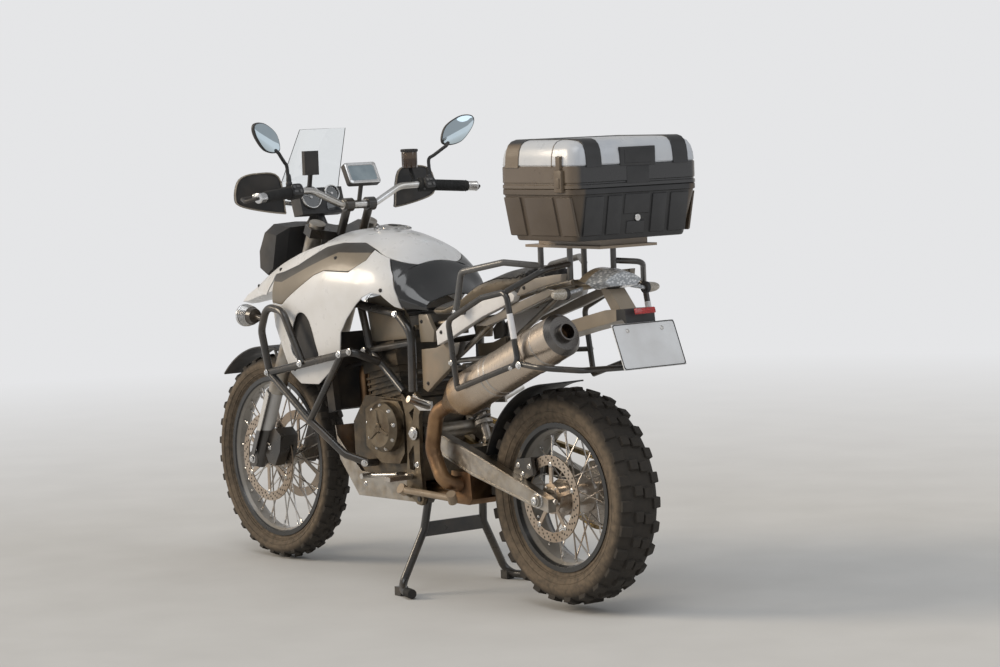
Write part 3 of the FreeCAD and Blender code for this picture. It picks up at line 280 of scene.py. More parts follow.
def muffler_steel():
    """Brushed muffler shell: orange-tan at the hot cone, bright behind, dark at the cap."""
    bright = (0.62, 0.53, 0.44)
    tan = (0.36, 0.23, 0.12)
    cap = (0.16, 0.15, 0.14)
    s = Shader("muffler_steel", bright, 0.3, 1.0)
    along = s.along(MUFFLER_FRONT, MUFFLER_WAY)
    hot = s.math("ADD", along, s.ramp(s.noise(9.0, 4.0), 0.3, 0.7, -0.05, 0.05))
    shell = s.mix(s.ramp(hot, -0.02, 0.16), tan, bright)
    s.colour(s.mix(s.ramp(along, MUFFLER_LENGTH - 0.002, MUFFLER_LENGTH + 0.001), shell, cap))
    lines = s.noise(26.0, 6.0, (30, 2, 2))
    s.roughness(s.ramp(lines, 0.25, 0.75, 0.22, 0.4))
    s.bump(lines, 0.00008, 0.35, 0.0008)
    return s.material


def clear(name, colour, rough, share, height, relief, strength):
    """Clear plastic or glass. height is a function from the shader to its surface relief."""
    s = Shader(name, colour, rough)
    s.set("Transmission Weight", share)
    s.set("IOR", 1.45)
    s.bump(height(s), relief, strength)
    return s.material


def lens(name, colour, rough, tones, share, height, relief, strength, coat=1.0, metal=0.0):
    """Glossy glass in two tones. share parts the tones and height is its relief, as functions."""
    s = Shader(name, colour, rough, metal)
    s.colour(s.mix(share(s), *tones))
    s.set("Coat Weight", coat)
    s.bump(height(s), relief, strength)
    return s.material


def noisy(scale, detail):
    """A cloudy relief."""
    return lambda s: s.noise(scale, detail)


def clouded(scale, detail, low, high):
    """A cloudy mask."""
    return lambda s: s.ramp(s.noise(scale, detail), low, high)


def chequered(scale):
    """A relief of cells."""
    return lambda s: s.cells(scale)


def chequer_share(scale):
    """A mask of cells."""
    return lambda s: s.ramp(s.cells(scale), 0.1, 0.6)


def lamp_lens():
    """The tail lamp: a chequered clear lens behind, a tan housing ahead, smoked indicators."""
    pale = (0.74, 0.76, 0.78)
    dark = (0.3, 0.32, 0.34)
    housing = (0.36, 0.29, 0.2)
    s = Shader("lamp_lens", pale, 0.14)
    s.set("Coat Weight", 0.7)
    cells = s.cells(95.0, (1, 1, 1.6))
    glass = s.mix(s.ramp(cells, 0.15, 0.6), pale, dark)
    behind = s.ramp(s.axis("X"), at(-196, 0, 0).x, at(-190, 0, 0).x)
    inner = s.math("MULTIPLY", behind, s.ramp(s.side(), 0.088, 0.094, 1.0, 0.0))
    s.colour(s.mix(inner, glass, housing))
    s.bump(cells, 0.002, 0.7, 0.0015)
    return s.material


def split_paint(name, share, first, second, rough, coat):
    """One moulding in two colours. share is a function from the shader to a mask."""
    s = Shader(name, first, rough)
    drift = s.ramp(s.noise(9.0, 6.0), 0.4, 0.75)
    pair = []
    for tone in (first, second):
        faded = tuple(min(1.0, channel * 1.18 + 0.008) for channel in tone)
        pair.append(s.mix(drift, tone, faded))
    s.colour(s.mix(share(s), *pair))
    s.roughness(s.ramp(s.noise(34.0, 5.0), 0.3, 0.7, rough - 0.06, rough + 0.1))
    s.set("Coat Weight", coat)
    s.set("Coat Roughness", 0.15)
    s.bump(s.noise(900.0, 2.0), 0.0002, 0.4, EDGE)
    return s.material


def rising(axis, low, high):
    """A mask that goes from none to all between two places on an axis."""
    return lambda s: s.ramp(s.axis(axis), low, high)


def sides_from(low, high):
    """A mask that goes from none to all between two distances from the middle plane."""
    return lambda s: s.ramp(s.side(), low, high)


# Colours that more than one material shares.
# The tan plastic colour is dark grey plastic with painted warm sunlight in it.
SUNLIT_TAN_PLASTIC = (0.2, 0.168, 0.125)
GREY_PLASTIC = (0.045, 0.041, 0.036)
DEEP_BLACK = (0.02, 0.02, 0.021)
# Black plastic with a painted tan sheen, for the case's sides.
LIT_BLACK = (0.12, 0.088, 0.057)
STRIPE_PAINT = (0.72, 0.71, 0.7)
TAIL_GREY = (0.19, 0.165, 0.135)
# The top case's size: ends, half width, and the heights of its floor, seam and rim.
CASE_REAR, CASE_FRONT, CASE_HALF = -340, 15, 240
CASE_FLOOR, CASE_SEAM, RIM_TOP = 1135, 1288, 1354


def cover_share(s):
    """The strip along the top of the bands is the darker tone."""
    edge = s.ramp(s.axis("X"), at(930, 0, 0).x, at(1206, 0, 0).x, 1.077, 0.976)
    strip = s.ramp(s.math("SUBTRACT", s.axis("Z"), edge), -0.001, 0.001)
    return s.math("MULTIPLY", strip, s.ramp(s.side(), 0.128, 0.132))


def rim_share(axle, low, high):
    """A band of the rim between two distances from the axle."""
    return lambda s: s.between(s.from_axle(axle), low, high)


def lid_paint():
    """Pale panels above the rim, which is black behind and has a painted tan sheen on the sides."""
    s = Shader("lid_paint", (0.52, 0.54, 0.57), 0.3)
    rim = s.mix(s.ramp(s.side(), 0.212, 0.226), DEEP_BLACK, LIT_BLACK)
    pale = s.mix(s.ramp(s.noise(8.0, 5.0), 0.35, 0.7), (0.5, 0.525, 0.56), (0.6, 0.61, 0.62))
    s.colour(s.mix(s.ramp(s.axis("Z"), (RIM_TOP + 0.5) / 1000, (RIM_TOP + 1.5) / 1000), rim, pale))
    s.roughness(s.ramp(s.noise(34.0, 5.0), 0.3, 0.7, 0.25, 0.4))
    s.set("Coat Weight", 0.5)
    s.set("Coat Roughness", 0.15)
    s.bump(s.noise(900.0, 2.0), 0.0002, 0.4, EDGE)
    return s.material


def tail_share(s):
    """The tail is grey at its rear and on its outer faces."""
    behind = s.ramp(s.axis("X"), at(76, 0, 0).x, at(74, 0, 0).x)
    return s.math("MAXIMUM", behind, s.ramp(s.side(), 0.135, 0.133))


# The materials by slot, and below them the looks that single nodes and pieces have.
MATERIALS = {
    "tyre": coated("bare_rubber", (0.02, 0.018, 0.016), (0.16, 0.12, 0.08), 0.85),
    "rim_black": coated("rim_paint", (0.02, 0.02, 0.02), (0.09, 0.07, 0.05), 0.32, 0.3),
    "steel": brushed("bare_steel", (0.6, 0.58, 0.55), (0.35, 0.27, 0.2)),
    "white_panel": coated("white_paint", (0.74, 0.738, 0.735), (0.66, 0.65, 0.63), 0.3, 0.4),
    "black_plastic": coated("grained_black", (0.024, 0.024, 0.025), (0.06, 0.052, 0.045), 0.5,
                            grain=700.0, relief=0.0003),
    "gloss_black": coated("gloss_black", (0.008, 0.009, 0.01), (0.02, 0.02, 0.02), 0.1, 1.0,
                          relief=0.00002),
    "frame_black": coated("frame_paint", (0.022, 0.021, 0.02), (0.07, 0.055, 0.04), 0.3, 0.5),
    "engine_grey": cast_metal("engine_casting", (0.085, 0.077, 0.066), (0.16, 0.125, 0.088), 0.42),
    "aluminium": cast_metal("cast_alloy", (0.4, 0.375, 0.34), (0.26, 0.22, 0.17), 0.36),
    "seat_cover": coated("leathercloth", (0.02, 0.02, 0.02), (0.05, 0.045, 0.04), 0.5,
                         grain=900.0, relief=0.0004),
    "chain_gold": cast_metal("chain_plating", (0.5, 0.37, 0.17), (0.2, 0.15, 0.1), 0.4),
    "lamp_clear": lamp_lens(),
    "screen": clear("clear_screen", (0.95, 0.975, 0.98), 0.02, 1.0,
                    noisy(3.0, 2.0), 0.0004, 0.2),
    "header": heat_tinted(),
    "plate_white": coated("plate_sheet", (0.72, 0.73, 0.74), (0.62, 0.62, 0.62), 0.35, 0.3),
    "radiator": coated("radiator_core", (0.03, 0.03, 0.03), (0.1, 0.08, 0.06), 0.6, metal=0.4),
    # The case shell's sides are tan: a painted warm sheen on black plastic.
    "case_black": split_paint("case_shell_sunlit_sides", sides_from(0.196, 0.206), DEEP_BLACK,
                              (0.075, 0.054, 0.035), 0.42, 0.1),
    "case_silver": lid_paint(),
    "rubber": coated("grip_rubber", (0.015, 0.015, 0.015), (0.04, 0.035, 0.03), 0.75),
}
BLACK = MATERIALS["black_plastic"]
# Dark grey castings whose bronze tone is partly painted warm sunlight.
SUNLIT_CASTING = cast_metal("sunlit_casting", (0.2, 0.165, 0.12), (0.11, 0.085, 0.06), 0.4)
DISC_STEEL = brushed("disc_steel", (0.5, 0.43, 0.36), (0.36, 0.28, 0.21), 0.32)
SILVER = brushed("bright_alloy", (0.74, 0.74, 0.74), (0.5, 0.46, 0.4), 0.22)
PALE_STRIPE = coated("pale_strip", (0.74, 0.74, 0.75), (0.6, 0.58, 0.56), 0.3, 0.4)
# The two tones of a rim, its roughness and its coat.
RIM_TONES = ((0.02, 0.02, 0.02), (0.3, 0.28, 0.25), 0.3, 0.3)
NODE_SLOTS = {part["node"]: part["material_slot"] for part in frame["record"]["subparts"]}
OWN_MATERIALS = {
    "muffler": muffler_steel(),
    # The side plastic's tan tone is partly painted warm sunlight on dark grey plastic.
    "side_covers": split_paint("sunlit_side_plastic", cover_share, SUNLIT_TAN_PLASTIC, GREY_PLASTIC, 0.38, 0.2),
    "front_rim": split_paint("front_rim_paint", rim_share(FRONT_AXLE, 0.2, 0.2575), *RIM_TONES),
    "rear_rim": split_paint("rear_rim_paint", rim_share(REAR_AXLE, 0.15, 0.2075), *RIM_TONES),
    # The carrier's tan band at its plate is painted warm sunlight on grey paint.
    "luggage_carrier": split_paint("carrier_paint_sunlit_plate", lambda s: s.between(s.axis("Z"), 1.105, 1.1345),
                                   (0.1, 0.098, 0.095), (0.26, 0.2, 0.14), 0.32, 0.3),
    "tail_panels": split_paint("tail_paint", tail_share, STRIPE_PAINT, TAIL_GREY, 0.34, 0.4),
    "tail_mudguard": split_paint("guard_plastic", rising("X", at(-288, 0, 0).x, at(-292, 0, 0).x),
                                 (0.3, 0.25, 0.19), DEEP_BLACK, 0.45, 0.1),
    "fork_sliders": split_paint("fork_guard", rising("Z", 0.456, 0.452), (0.5, 0.49, 0.47),
                                (0.06, 0.055, 0.05), 0.35, 0.2),
    "engine_covers": SUNLIT_CASTING,
    "pivot_plates": SUNLIT_CASTING,
    "front_discs": DISC_STEEL,
    "rear_disc": DISC_STEEL,
    # The side stand is a plain tan.
    "side_stand": coated("tan_tube", (0.36, 0.27, 0.18), (0.2, 0.15, 0.1), 0.45, 0.2),
    "skid_plate": MATERIALS["aluminium"],
    "handlebar": SILVER,
    "headlight": BLACK,
}
for node_name, slot_name in NODE_SLOTS.items():
    node_materials = nodes[node_name].data.materials
    node_materials.clear()
    node_materials.append(OWN_MATERIALS.get(node_name, MATERIALS[slot_name]))


# Shapes for the pieces. Each piece is kept here by its name.
PIECES = {}


def piece(name, bm, slot, body="chassis", instead=(), sharp=35, material=None):
    """A mesh piece that rides on a body, and may stand for CAD nodes."""
    mesh = bpy.data.meshes.new(name)
    bmesh.ops.recalc_face_normals(bm, faces=bm.faces)
    bm.to_mesh(mesh)
    bm.free()
    mesh.materials.append(material or MATERIALS[slot])
    for polygon in mesh.polygons:
        polygon.use_smooth = True
    mesh.set_sharp_from_angle(angle=math.radians(sharp))
    shown = bpy.data.objects.new(name, mesh)
    bpy.context.scene.collection.objects.link(shown)
    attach(shown, body)
    if instead:
        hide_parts(*instead)
    PIECES[name] = shown


def round_edges(bm, size, sharpest=1.0, segments=2):
    """Rounds the edges that turn by more than an angle in radians."""
    edges = [edge for edge in bm.edges if edge.calc_face_angle(0) > sharpest]
    bmesh.ops.bevel(bm, geom=edges, offset=size, segments=segments, affect="EDGES", profile=0.6)


def square_to(way):
    """Two unit vectors square to a direction."""
    way = way.normalized()
    first = way.cross(Vector((0, 0, 1)) if abs(way.z) < 0.9 else Vector((1, 0, 0))).normalized()
    return first, way.cross(first)


def skin_rings(bm, rings, closed=False, caps=True):
    """Faces between successive rings of points, each ring closed on itself."""
    made = [[bm.verts.new(point) for point in ring] for ring in rings]
    pairs = list(zip(made, made[1:])) + ([(made[-1], made[0])] if closed else [])
    for here, there in pairs:
        count = len(here)
        for k in range(count):
            bm.faces.new((here[k], here[(k + 1) % count], there[(k + 1) % count], there[k]))
    if caps and not closed:
        bm.faces.new(list(reversed(made[0])))
        bm.faces.new(made[-1])
    return made


def turned(bm, centre, way, profile, steps=40, caps=True):
    """A turned form: a (radius, along) profile spun about an axis."""
    way = way.normalized()
    across, up = square_to(way)
    rings = []
    for radius, along in profile:
        ring = []
        for k in range(steps):
            angle = 2 * math.pi * k / steps
            spoke = across * math.cos(angle) + up * math.sin(angle)
            ring.append(centre + way * along + spoke * max(radius, 1e-5))
        rings.append(ring)
    return skin_rings(bm, rings, caps=caps)


def sweep(bm, points, radius, sides=12, closed=False):
    """A round tube through points."""
    count = len(points)
    rings = []
    last = None
    for k, point in enumerate(points):
        if closed:
            way = points[(k + 1) % count] - points[k - 1]
        else:
            way = points[min(k + 1, count - 1)] - points[max(k - 1, 0)]
        way.normalize()
        if last is None:
            last = square_to(way)[0]
        first = (last - way * last.dot(way)).normalized()
        second = way.cross(first)
        last = first
        rings.append([point + (first * math.cos(a) + second * math.sin(a)) * radius
                      for a in (2 * math.pi * s / sides for s in range(sides))])
    return skin_rings(bm, rings, closed=closed)


def smoothed(points, steps, closed=False):
    """Points on a smooth line through a few given ones."""
    count = len(points)
    out = []
    for k in range(count if closed else count - 1):
        if closed:
            p0, p1, p2, p3 = (points[(k + j) % count] for j in (-1, 0, 1, 2))
        else:
            p0, p1, p2, p3 = (points[min(max(k + j, 0), count - 1)] for j in (-1, 0, 1, 2))
        for step in range(steps):
            t = step / steps
            out.append(0.5 * (2 * p1 + (p2 - p0) * t + (2 * p0 - 5 * p1 + 4 * p2 - p3) * t * t
                              + (3 * p1 - p0 - 3 * p2 + p3) * t ** 3))
    if not closed:
        out.append(points[-1].copy())
    return out


def bolt(bm, place, way, radius, height=None, six=True):
    """A bolt head on a washer: six-sided, or domed with a socket."""
    height = height or radius * 0.8
    turned(bm, place, way, [(radius * 1.35, -0.0008), (radius * 1.35, 0.001),
                            (radius * 1.25, 0.0014)], 20)
    if six:
        turned(bm, place, way, [(radius, 0.001), (radius, height * 0.85),
                                (radius * 0.86, height)], 6)
        turned(bm, place, way, [(radius * 0.5, height * 0.9), (radius * 0.46, height * 1.1)], 12)
    else:
        turned(bm, place, way, [(radius, 0.001), (radius, height * 0.5), (radius * 0.8, height),
                                (radius * 0.45, height * 1.05), (radius * 0.4, height * 0.5)], 18)


# Search trees of the shapes that a line was sent to.
TREES = {}


def on_node(name, start, way):
    """Where a line from a point first meets a CAD node or a piece: the place and the way out."""
    if name not in TREES:
        shape = PIECES.get(name) or nodes[name]
        mesh = shape.data
        TREES[name] = BVHTree.FromPolygons([v.co for v in mesh.vertices],
                                           [list(f.vertices) for f in mesh.polygons])
    place, normal, _, _ = TREES[name].ray_cast(start, way.normalized(), 0.7)
    return (place, normal) if place else (None, None)


def add_bolts(name, rows, slot, body="chassis", material=None):
    """Bolt heads on CAD nodes or pieces, from (node, start, way, radius, six-sided) rows."""
    bm = bmesh.new()
    for node, start, way, radius, six in rows:
        place, normal = on_node(node, start, way)
        if place is not None:
            bolt(bm, place, normal, radius, six=six)
    piece(name, bm, slot, body, material=material)


# The body's skin: half sections along its length, in millimetres.
# The columns are x, low half, low z, waist half, waist z, shoulder half, shoulder z, top z.
BODY_SECTIONS = [
    (1400, 190, 900, 198, 925, 186, 962, 990),
    (1330, 206, 800, 216, 888, 200, 990, 1045),
    (1250, 216, 740, 230, 876, 190, 1034, 1094),
    (1150, 218, 640, 234, 866, 180, 1072, 1124),
    (1050, 213, 640, 236, 880, 172, 1098, 1140),
    (930, 204, 640, 232, 900, 162, 1110, 1147),
    (800, 196, 690, 218, 924, 152, 1086, 1129),
    (716, 186, 800, 204, 944, 142, 1060, 1098),
    (648, 172, 900, 182, 946, 128, 1014, 1044),
    (610, 148, 903, 158, 926, 112, 968, 1000),
    (553, 112, 894, 124, 908, 92, 928, 944),
]
# Joints between the panels, as (x, z) lines on the left side.
BAND_TOP = [(1262, 1000), (1206, 1010), (1128, 1034), (1051, 1072), (1010, 1093), (933, 1108),
            (850, 1108), (786, 1088)]
BAND_FOOT = [(786, 1088), (790, 1056), (846, 1018), (966, 1020), (1015, 1004), (1091, 963),
             (1158, 927), (1202, 900), (1262, 905)]
SHELL_REAR = [(786, 1088), (714, 1060), (652, 1038)]
NOSE_FRONT = [(714, 1060), (669, 1008), (637, 945), (630, 903)]
WING_FOOT = [(630, 903), (652, 910), (696, 948), (735, 954), (773, 939), (808, 912), (856, 866),
             (893, 820), (908, 752), (932, 716), (1038, 646), (1130, 644), (1186, 677),
             (1222, 742), (1262, 830)]
WING_SLOT = [(1128, 862), (1084, 880), (1050, 852), (1030, 780), (1022, 738), (1060, 724),
             (1150, 728), (1172, 780)]
ARM_FRONT = [(1268, 975), (1300, 930), (1396, 930), (1396, 962), (1330, 991), (1250, 1035),
             (1150, 1073), (1050, 1099)]


def eased(rows, x):
    """Each column of rows at x, on a smooth line through them. Rows run from high x to low x."""
    for k in range(len(rows) - 1):
        if x >= rows[k + 1][0] or k == len(rows) - 2:
            break
    before, here, there, after = (rows[min(max(k + j, 0), len(rows) - 1)] for j in (-1, 0, 1, 2))
    span = there[0] - here[0]
    t = min(1.0, max(0.0, (x - here[0]) / span))
    out = []
    for column in range(1, len(here)):
        slopes = []
        for first, last in ((before, there), (here, after)):
            gap = last[0] - first[0]
            slopes.append((last[column] - first[column]) / gap * span)
        a, b = here[column], there[column]
        out.append(a + slopes[0] * t + (3 * (b - a) - 2 * slopes[0] - slopes[1]) * t * t
                   + (2 * (a - b) + slopes[0] + slopes[1]) * t ** 3)
    return out


def height_at(line, x):
    """The z of an (x, z) line at x, on straight runs."""
    points = sorted(line)
    for (x0, z0), (x1, z1) in zip(points, points[1:]):
        if x0 <= x <= x1 and x1 > x0:
            return z0 + (z1 - z0) * (x - x0) / (x1 - x0)
    return points[0][1] if x < points[0][0] else points[-1][1]


def half_section(x):
    """The left half of the skin at x: (y, z) points from its low edge up to the middle."""
    low_half, low_z, waist_half, waist_z, top_half, shoulder_z, top_z = eased(BODY_SECTIONS, x)
    points = [(low_half + (waist_half - low_half) * t, low_z + (waist_z - low_z) * t)
              for t in (k / 12 for k in range(12))]
    across, rise = top_half - waist_half, shoulder_z - waist_z
    for k in range(16):
        t = k / 16
        swell = 4 * t * (1 - t) * 0.14
        points.append((waist_half + across * t + rise * swell, waist_z + rise * t - across * swell))
    for k in range(25):
        t = math.radians(90 * k / 24)
        share = math.cos(t) if k < 24 else 0.0
        points.append((top_half * share, shoulder_z + (top_z - shoulder_z) * (1 - share ** 2)))
    for _ in range(3):
        inner = [((a[0] + 2 * b[0] + c[0]) / 4, (a[1] + 2 * b[1] + c[1]) / 4)
                 for a, b, c in zip(points, points[1:], points[2:])]
        points = [points[0]] + inner + [points[-1]]
    return points


# The skin's sections made so far, by their x.
SECTION_CACHE = {}


def section_at(x):
    """The skin's half section at x, made once for each whole millimetre."""
    key = round(x)
    if key not in SECTION_CACHE:
        SECTION_CACHE[key] = half_section(key)
    return SECTION_CACHE[key]


def skin_y(x, z):
    """How far out the skin is at (x, z), in millimetres."""
    line = section_at(x)
    for (y0, z0), (y1, z1) in zip(line, line[1:]):
        if z0 <= z <= z1 and z1 > z0:
            return y0 + (y1 - y0) * (z - z0) / (z1 - z0)
    return line[0][0] if z < line[0][1] else line[-1][0]


def skin_strip(x, low, high, columns):
    """Points along the section between two heights, evenly spaced by length."""
    line = [(skin_y(x, low), low)] + [p for p in section_at(x) if low < p[1] < high]
    line.append((skin_y(x, high), high))
    lengths = [0.0]
    for (y0, z0), (y1, z1) in zip(line, line[1:]):
        lengths.append(lengths[-1] + math.hypot(y1 - y0, z1 - z0))
    out = []
    for k in range(columns + 1):
        goal = lengths[-1] * k / columns
        index = max(i for i in range(len(lengths)) if lengths[i] <= goal + 1e-9)
        index = min(index, len(line) - 2)
        gap = lengths[index + 1] - lengths[index]
        t = (goal - lengths[index]) / gap if gap else 0.0
        (y0, z0), (y1, z1) = line[index], line[index + 1]
        out.append((y0 + (y1 - y0) * t, z0 + (z1 - z0) * t))
    return out


def thickened(bm, thick, soft=0.0016):
    """Gives an open sheet its thickness, inwards, and rounds its rims."""
    bmesh.ops.remove_doubles(bm, verts=bm.verts, dist=0.0002)
    bmesh.ops.recalc_face_normals(bm, faces=bm.faces)
    bm.normal_update()
    centre = sum((f.calc_center_median() for f in bm.faces), Vector()) / len(bm.faces)
    outward = sum((f.normal.dot(f.calc_center_median() - Vector((centre.x, 0, centre.z - 0.3)))
                   for f in bm.faces))
    if outward < 0:
        bmesh.ops.reverse_faces(bm, faces=bm.faces)
        bm.normal_update()
    bmesh.ops.solidify(bm, geom=bm.faces, thickness=thick)
    bm.normal_update()
    round_edges(bm, soft)


def side_sheet(bm, xs, low, high, columns, side, lift=0.0):
    """A sheet on one side of the skin, between two heights given as functions of x."""
    rows = []
    for x in xs:
        rows.append([at(x, side * (y + lift), z)
                     for y, z in skin_strip(x, low(x), high(x), columns)])
    made = [[bm.verts.new(p) for p in row] for row in rows]
    for here, there in zip(made, made[1:]):
        for k in range(columns):
            bm.faces.new((here[k], here[k + 1], there[k + 1], there[k]))


def steps(start, end, gap):
    """Evenly spaced values from start to end, about gap apart."""
    count = max(2, round(abs(end - start) / gap))
    return [start + (end - start) * k / count for k in range(count + 1)]


def inside(point, outline):
    """Whether a point lies inside a closed outline."""
    x, z = point
    found = False
    for (x0, z0), (x1, z1) in zip(outline, outline[1:] + outline[:1]):
        if (z0 > z) != (z1 > z) and x < (x1 - x0) * (z - z0) / (z1 - z0) + x0:
            found = not found
    return found


def clear_of(point, outline, gap):
    """Whether a point stays further than gap from an outline."""
    for (x0, z0), (x1, z1) in zip(outline, outline[1:] + outline[:1]):
        length = math.hypot(x1 - x0, z1 - z0)
        t = ((point[0] - x0) * (x1 - x0) + (point[1] - z0) * (z1 - z0)) / max(length ** 2, 1e-9)
        t = min(1.0, max(0.0, t))
        if math.hypot(point[0] - x0 - (x1 - x0) * t, point[1] - z0 - (z1 - z0) * t) < gap:
            return False
    return True


def divided(outline, gap):
    """An outline with points added on its runs, about gap apart."""
    out = []
    for (x0, z0), (x1, z1) in zip(outline, outline[1:] + outline[:1]):
        count = max(1, round(math.hypot(x1 - x0, z1 - z0) / gap))
        out += [(x0 + (x1 - x0) * k / count, z0 + (z1 - z0) * k / count) for k in range(count)]
    return out


def curved(outline, amount=4):
    """An outline with its corners eased into curves."""
    line = [Vector((x, z)) for x, z in outline]
    return [(p.x, p.y) for p in smoothed(line, amount, closed=True)]


def flat_sheet(bm, outline, depth, side, gap=13, hole=()):
    """A sheet over an (x, z) outline. depth is a function from (x, z) to y in millimetres."""
    loops = [divided(outline, gap)] + ([divided(list(hole), gap)] if hole else [])
    points = [Vector(p) for loop in loops for p in loop]
    edges = []
    start = 0
    for loop in loops:
        edges += [(start + k, start + (k + 1) % len(loop)) for k in range(len(loop))]
        start += len(loop)
    xs = [p[0] for p in outline]
    zs = [p[1] for p in outline]
    for row, z in enumerate(steps(min(zs), max(zs), gap * 0.87)):
        for x in steps(min(xs), max(xs), gap):
            spot = (x + (row % 2) * gap / 2, z)
            if not inside(spot, outline) or not clear_of(spot, outline, gap * 0.5):
                continue
            if hole and (inside(spot, list(hole)) or not clear_of(spot, list(hole), gap * 0.5)):
                continue
            points.append(Vector(spot))
    verts, _, faces, *_ = geometry.delaunay_2d_cdt(points, edges, [], 1, 1e-4)
    made = [bm.verts.new(at(v.x, side * depth(v.x, v.y), v.y)) for v in verts]
    for face in faces:
        middle = (sum(verts[i].x for i in face) / 3, sum(verts[i].y for i in face) / 3)
        if not inside(middle, outline) or (hole and inside(middle, list(hole))):
            continue
        bm.faces.new([made[i] for i in face])


def build_shell():
    """The white upper shell: one piece over the top, and an arm each side of the steering."""
    lower = BAND_TOP + SHELL_REAR[1:]

    def crown(x):
        """The skin's height on the middle plane."""
        return section_at(x)[-1][1]

    bm = bmesh.new()
    xs = steps(653, 1040, 12)
    for side in (1, -1):
        side_sheet(bm, xs, lambda x: height_at(lower, x), crown, 22, side)
    thickened(bm, 0.0045)
    piece("upper_shell", bm, "white_panel", instead=("tank_cover",))
    for side, name in SIDES:
        bm = bmesh.new()
        outline = [(1042, 1101)] + [(x, height_at(BAND_TOP, x)) for x in (1042, 1051, 1090, 1128,
                                                                          1168, 1206, 1262)]
        outline += ARM_FRONT
        flat_sheet(bm, outline, skin_y, side)
        thickened(bm, 0.0045)
        piece("shell_arm_" + name, bm, "white_panel")
    wall = bmesh.new()
    line = [(y, z) for y, z in section_at(1036) if z > 990]
    ring = [at(1036, y - 5, z - 5) for y, z in line] + [at(1036, 5 - y, z - 5)
                                                       for y, z in reversed(line)]
    thin = Vector((0.004, 0, 0))
    skin_rings(wall, [ring, [p + thin for p in ring]])
    piece("shell_wall", wall, "black_plastic")


def build_bands():
    """The dark and tan bands let into each side below the upper shell; their tan is dark grey
    plastic with painted warm sunlight.
    """
    for side, name in SIDES:
        bm = bmesh.new()
        side_sheet(bm, steps(792, 1260, 10), lambda x: height_at(BAND_FOOT[1:], x) + 0.8,
                   lambda x: height_at(BAND_TOP, x) - 0.8, 8, side, -1.5)
        thickened(bm, 0.004, 0.001)
        piece("body_band_" + name, bm, "black_plastic", material=OWN_MATERIALS["side_covers"])


def build_wings():
    """The white side panels, each with a tall slot over a dark backing."""
    outline = list(reversed([(x, z - 1.2) for x, z in BAND_FOOT[1:]]))
    outline += [(788, 1086)] + [(x + 1.0, z) for x, z in NOSE_FRONT] + WING_FOOT[1:]
    for side, name in SIDES:
        bm = bmesh.new()
        flat_sheet(bm, outline, skin_y, side, 13, curved(WING_SLOT, 3))
        thickened(bm, 0.0045)
        piece("wing_" + name, bm, "white_panel", instead=("fairings",) if side == 1 else ())
        bm = bmesh.new()
        back = [(1190, 700), (1186, 892), (1030, 900), (1000, 700)]
        flat_sheet(bm, back, lambda x, z: skin_y(x, z) - 14, side, 20)
        thickened(bm, 0.003, 0.0008)
        piece("slot_back_" + name, bm, "black_plastic")


def build_nose():
    """The gloss black panel between the white panels and the seat."""
    def low(x):
        """The panel's lower edge."""
        return height_at(NOSE_FRONT, x) + 1 if x > 630 else section_at(x)[0][1] + 1

    def high(x):
        """The panel's upper edge."""
        crown = section_at(x)[-1][1]
        return crown if x <= 652 else min(crown, height_at(SHELL_REAR, x) - 1)

    bm = bmesh.new()
    xs = steps(554, 652, 7) + steps(653, 711, 7)
    for side in (1, -1):
        side_sheet(bm, xs, low, high, 22, side)
    thickened(bm, 0.0045)
    piece("nose_skin", bm, "gloss_black", instead=("nose_panel",))


# Outlines of the cover panels beside the seat and under the tail, as (x, z) on the left side.
INFILL = [(890, 892), (882, 926), (813, 938), (758, 924), (690, 901), (670, 880), (652, 838),
          (650, 806), (846, 786), (868, 790)]
UPPER_COVER = [(606, 884), (560, 886), (524, 836), (530, 800), (600, 796)]
SMALL_COVER = [(512, 826), (470, 862), (452, 830), (456, 800), (506, 792)]
LOWER_COVER = [(592, 774), (514, 783), (446, 806), (443, 723), (566, 640), (590, 650)]
REAR_COVER = [(436, 802), (380, 806), (392, 770), (430, 740)]
TAIL_STRIPE = [(479, 838), (440, 866), (386, 893), (280, 931), (105, 976), (76, 962), (85, 946),
               (240, 892), (390, 826), (474, 794)]
TAIL_PANEL = [(72, 962), (46, 990), (4, 1014), (-110, 1030), (-150, 1034), (-146, 1012),
              (-60, 994), (44, 966)]
TAIL_LOWER = [(300, 862), (84, 940), (-60, 986), (-100, 982), (-60, 960), (90, 908), (240, 862)]


def slab(outline, y_in, y_out, side, crown=3.0):
    """A moulded cover: an outline carried from y_in to y_out, its face slightly crowned."""
    bm = bmesh.new()
    xs = [p[0] for p in outline]
    zs = [p[1] for p in outline]
    cx, cz = (min(xs) + max(xs)) / 2, (min(zs) + max(zs)) / 2
    wide, high = (max(xs) - min(xs)) / 2, (max(zs) - min(zs)) / 2

    def face(x, z):
        """The crowned outer face."""
        away = min(1.0, ((x - cx) / wide) ** 2 + ((z - cz) / high) ** 2)
        return y_out - crown * away

    flat_sheet(bm, outline, face, side, 16)
    bmesh.ops.recalc_face_normals(bm, faces=bm.faces)
    bm.normal_update()
    if sum(f.normal.y for f in bm.faces) * side < 0:
        bmesh.ops.reverse_faces(bm, faces=bm.faces)
    made = bmesh.ops.extrude_face_region(bm, geom=list(bm.faces), use_keep_orig=True)
    inner = [v for v in made["geom"] if isinstance(v, bmesh.types.BMVert)]
    for vertex in inner:
        vertex.co.y = side * y_in / 1000
    bm.normal_update()
    round_edges(bm, 0.0022)
    return bm


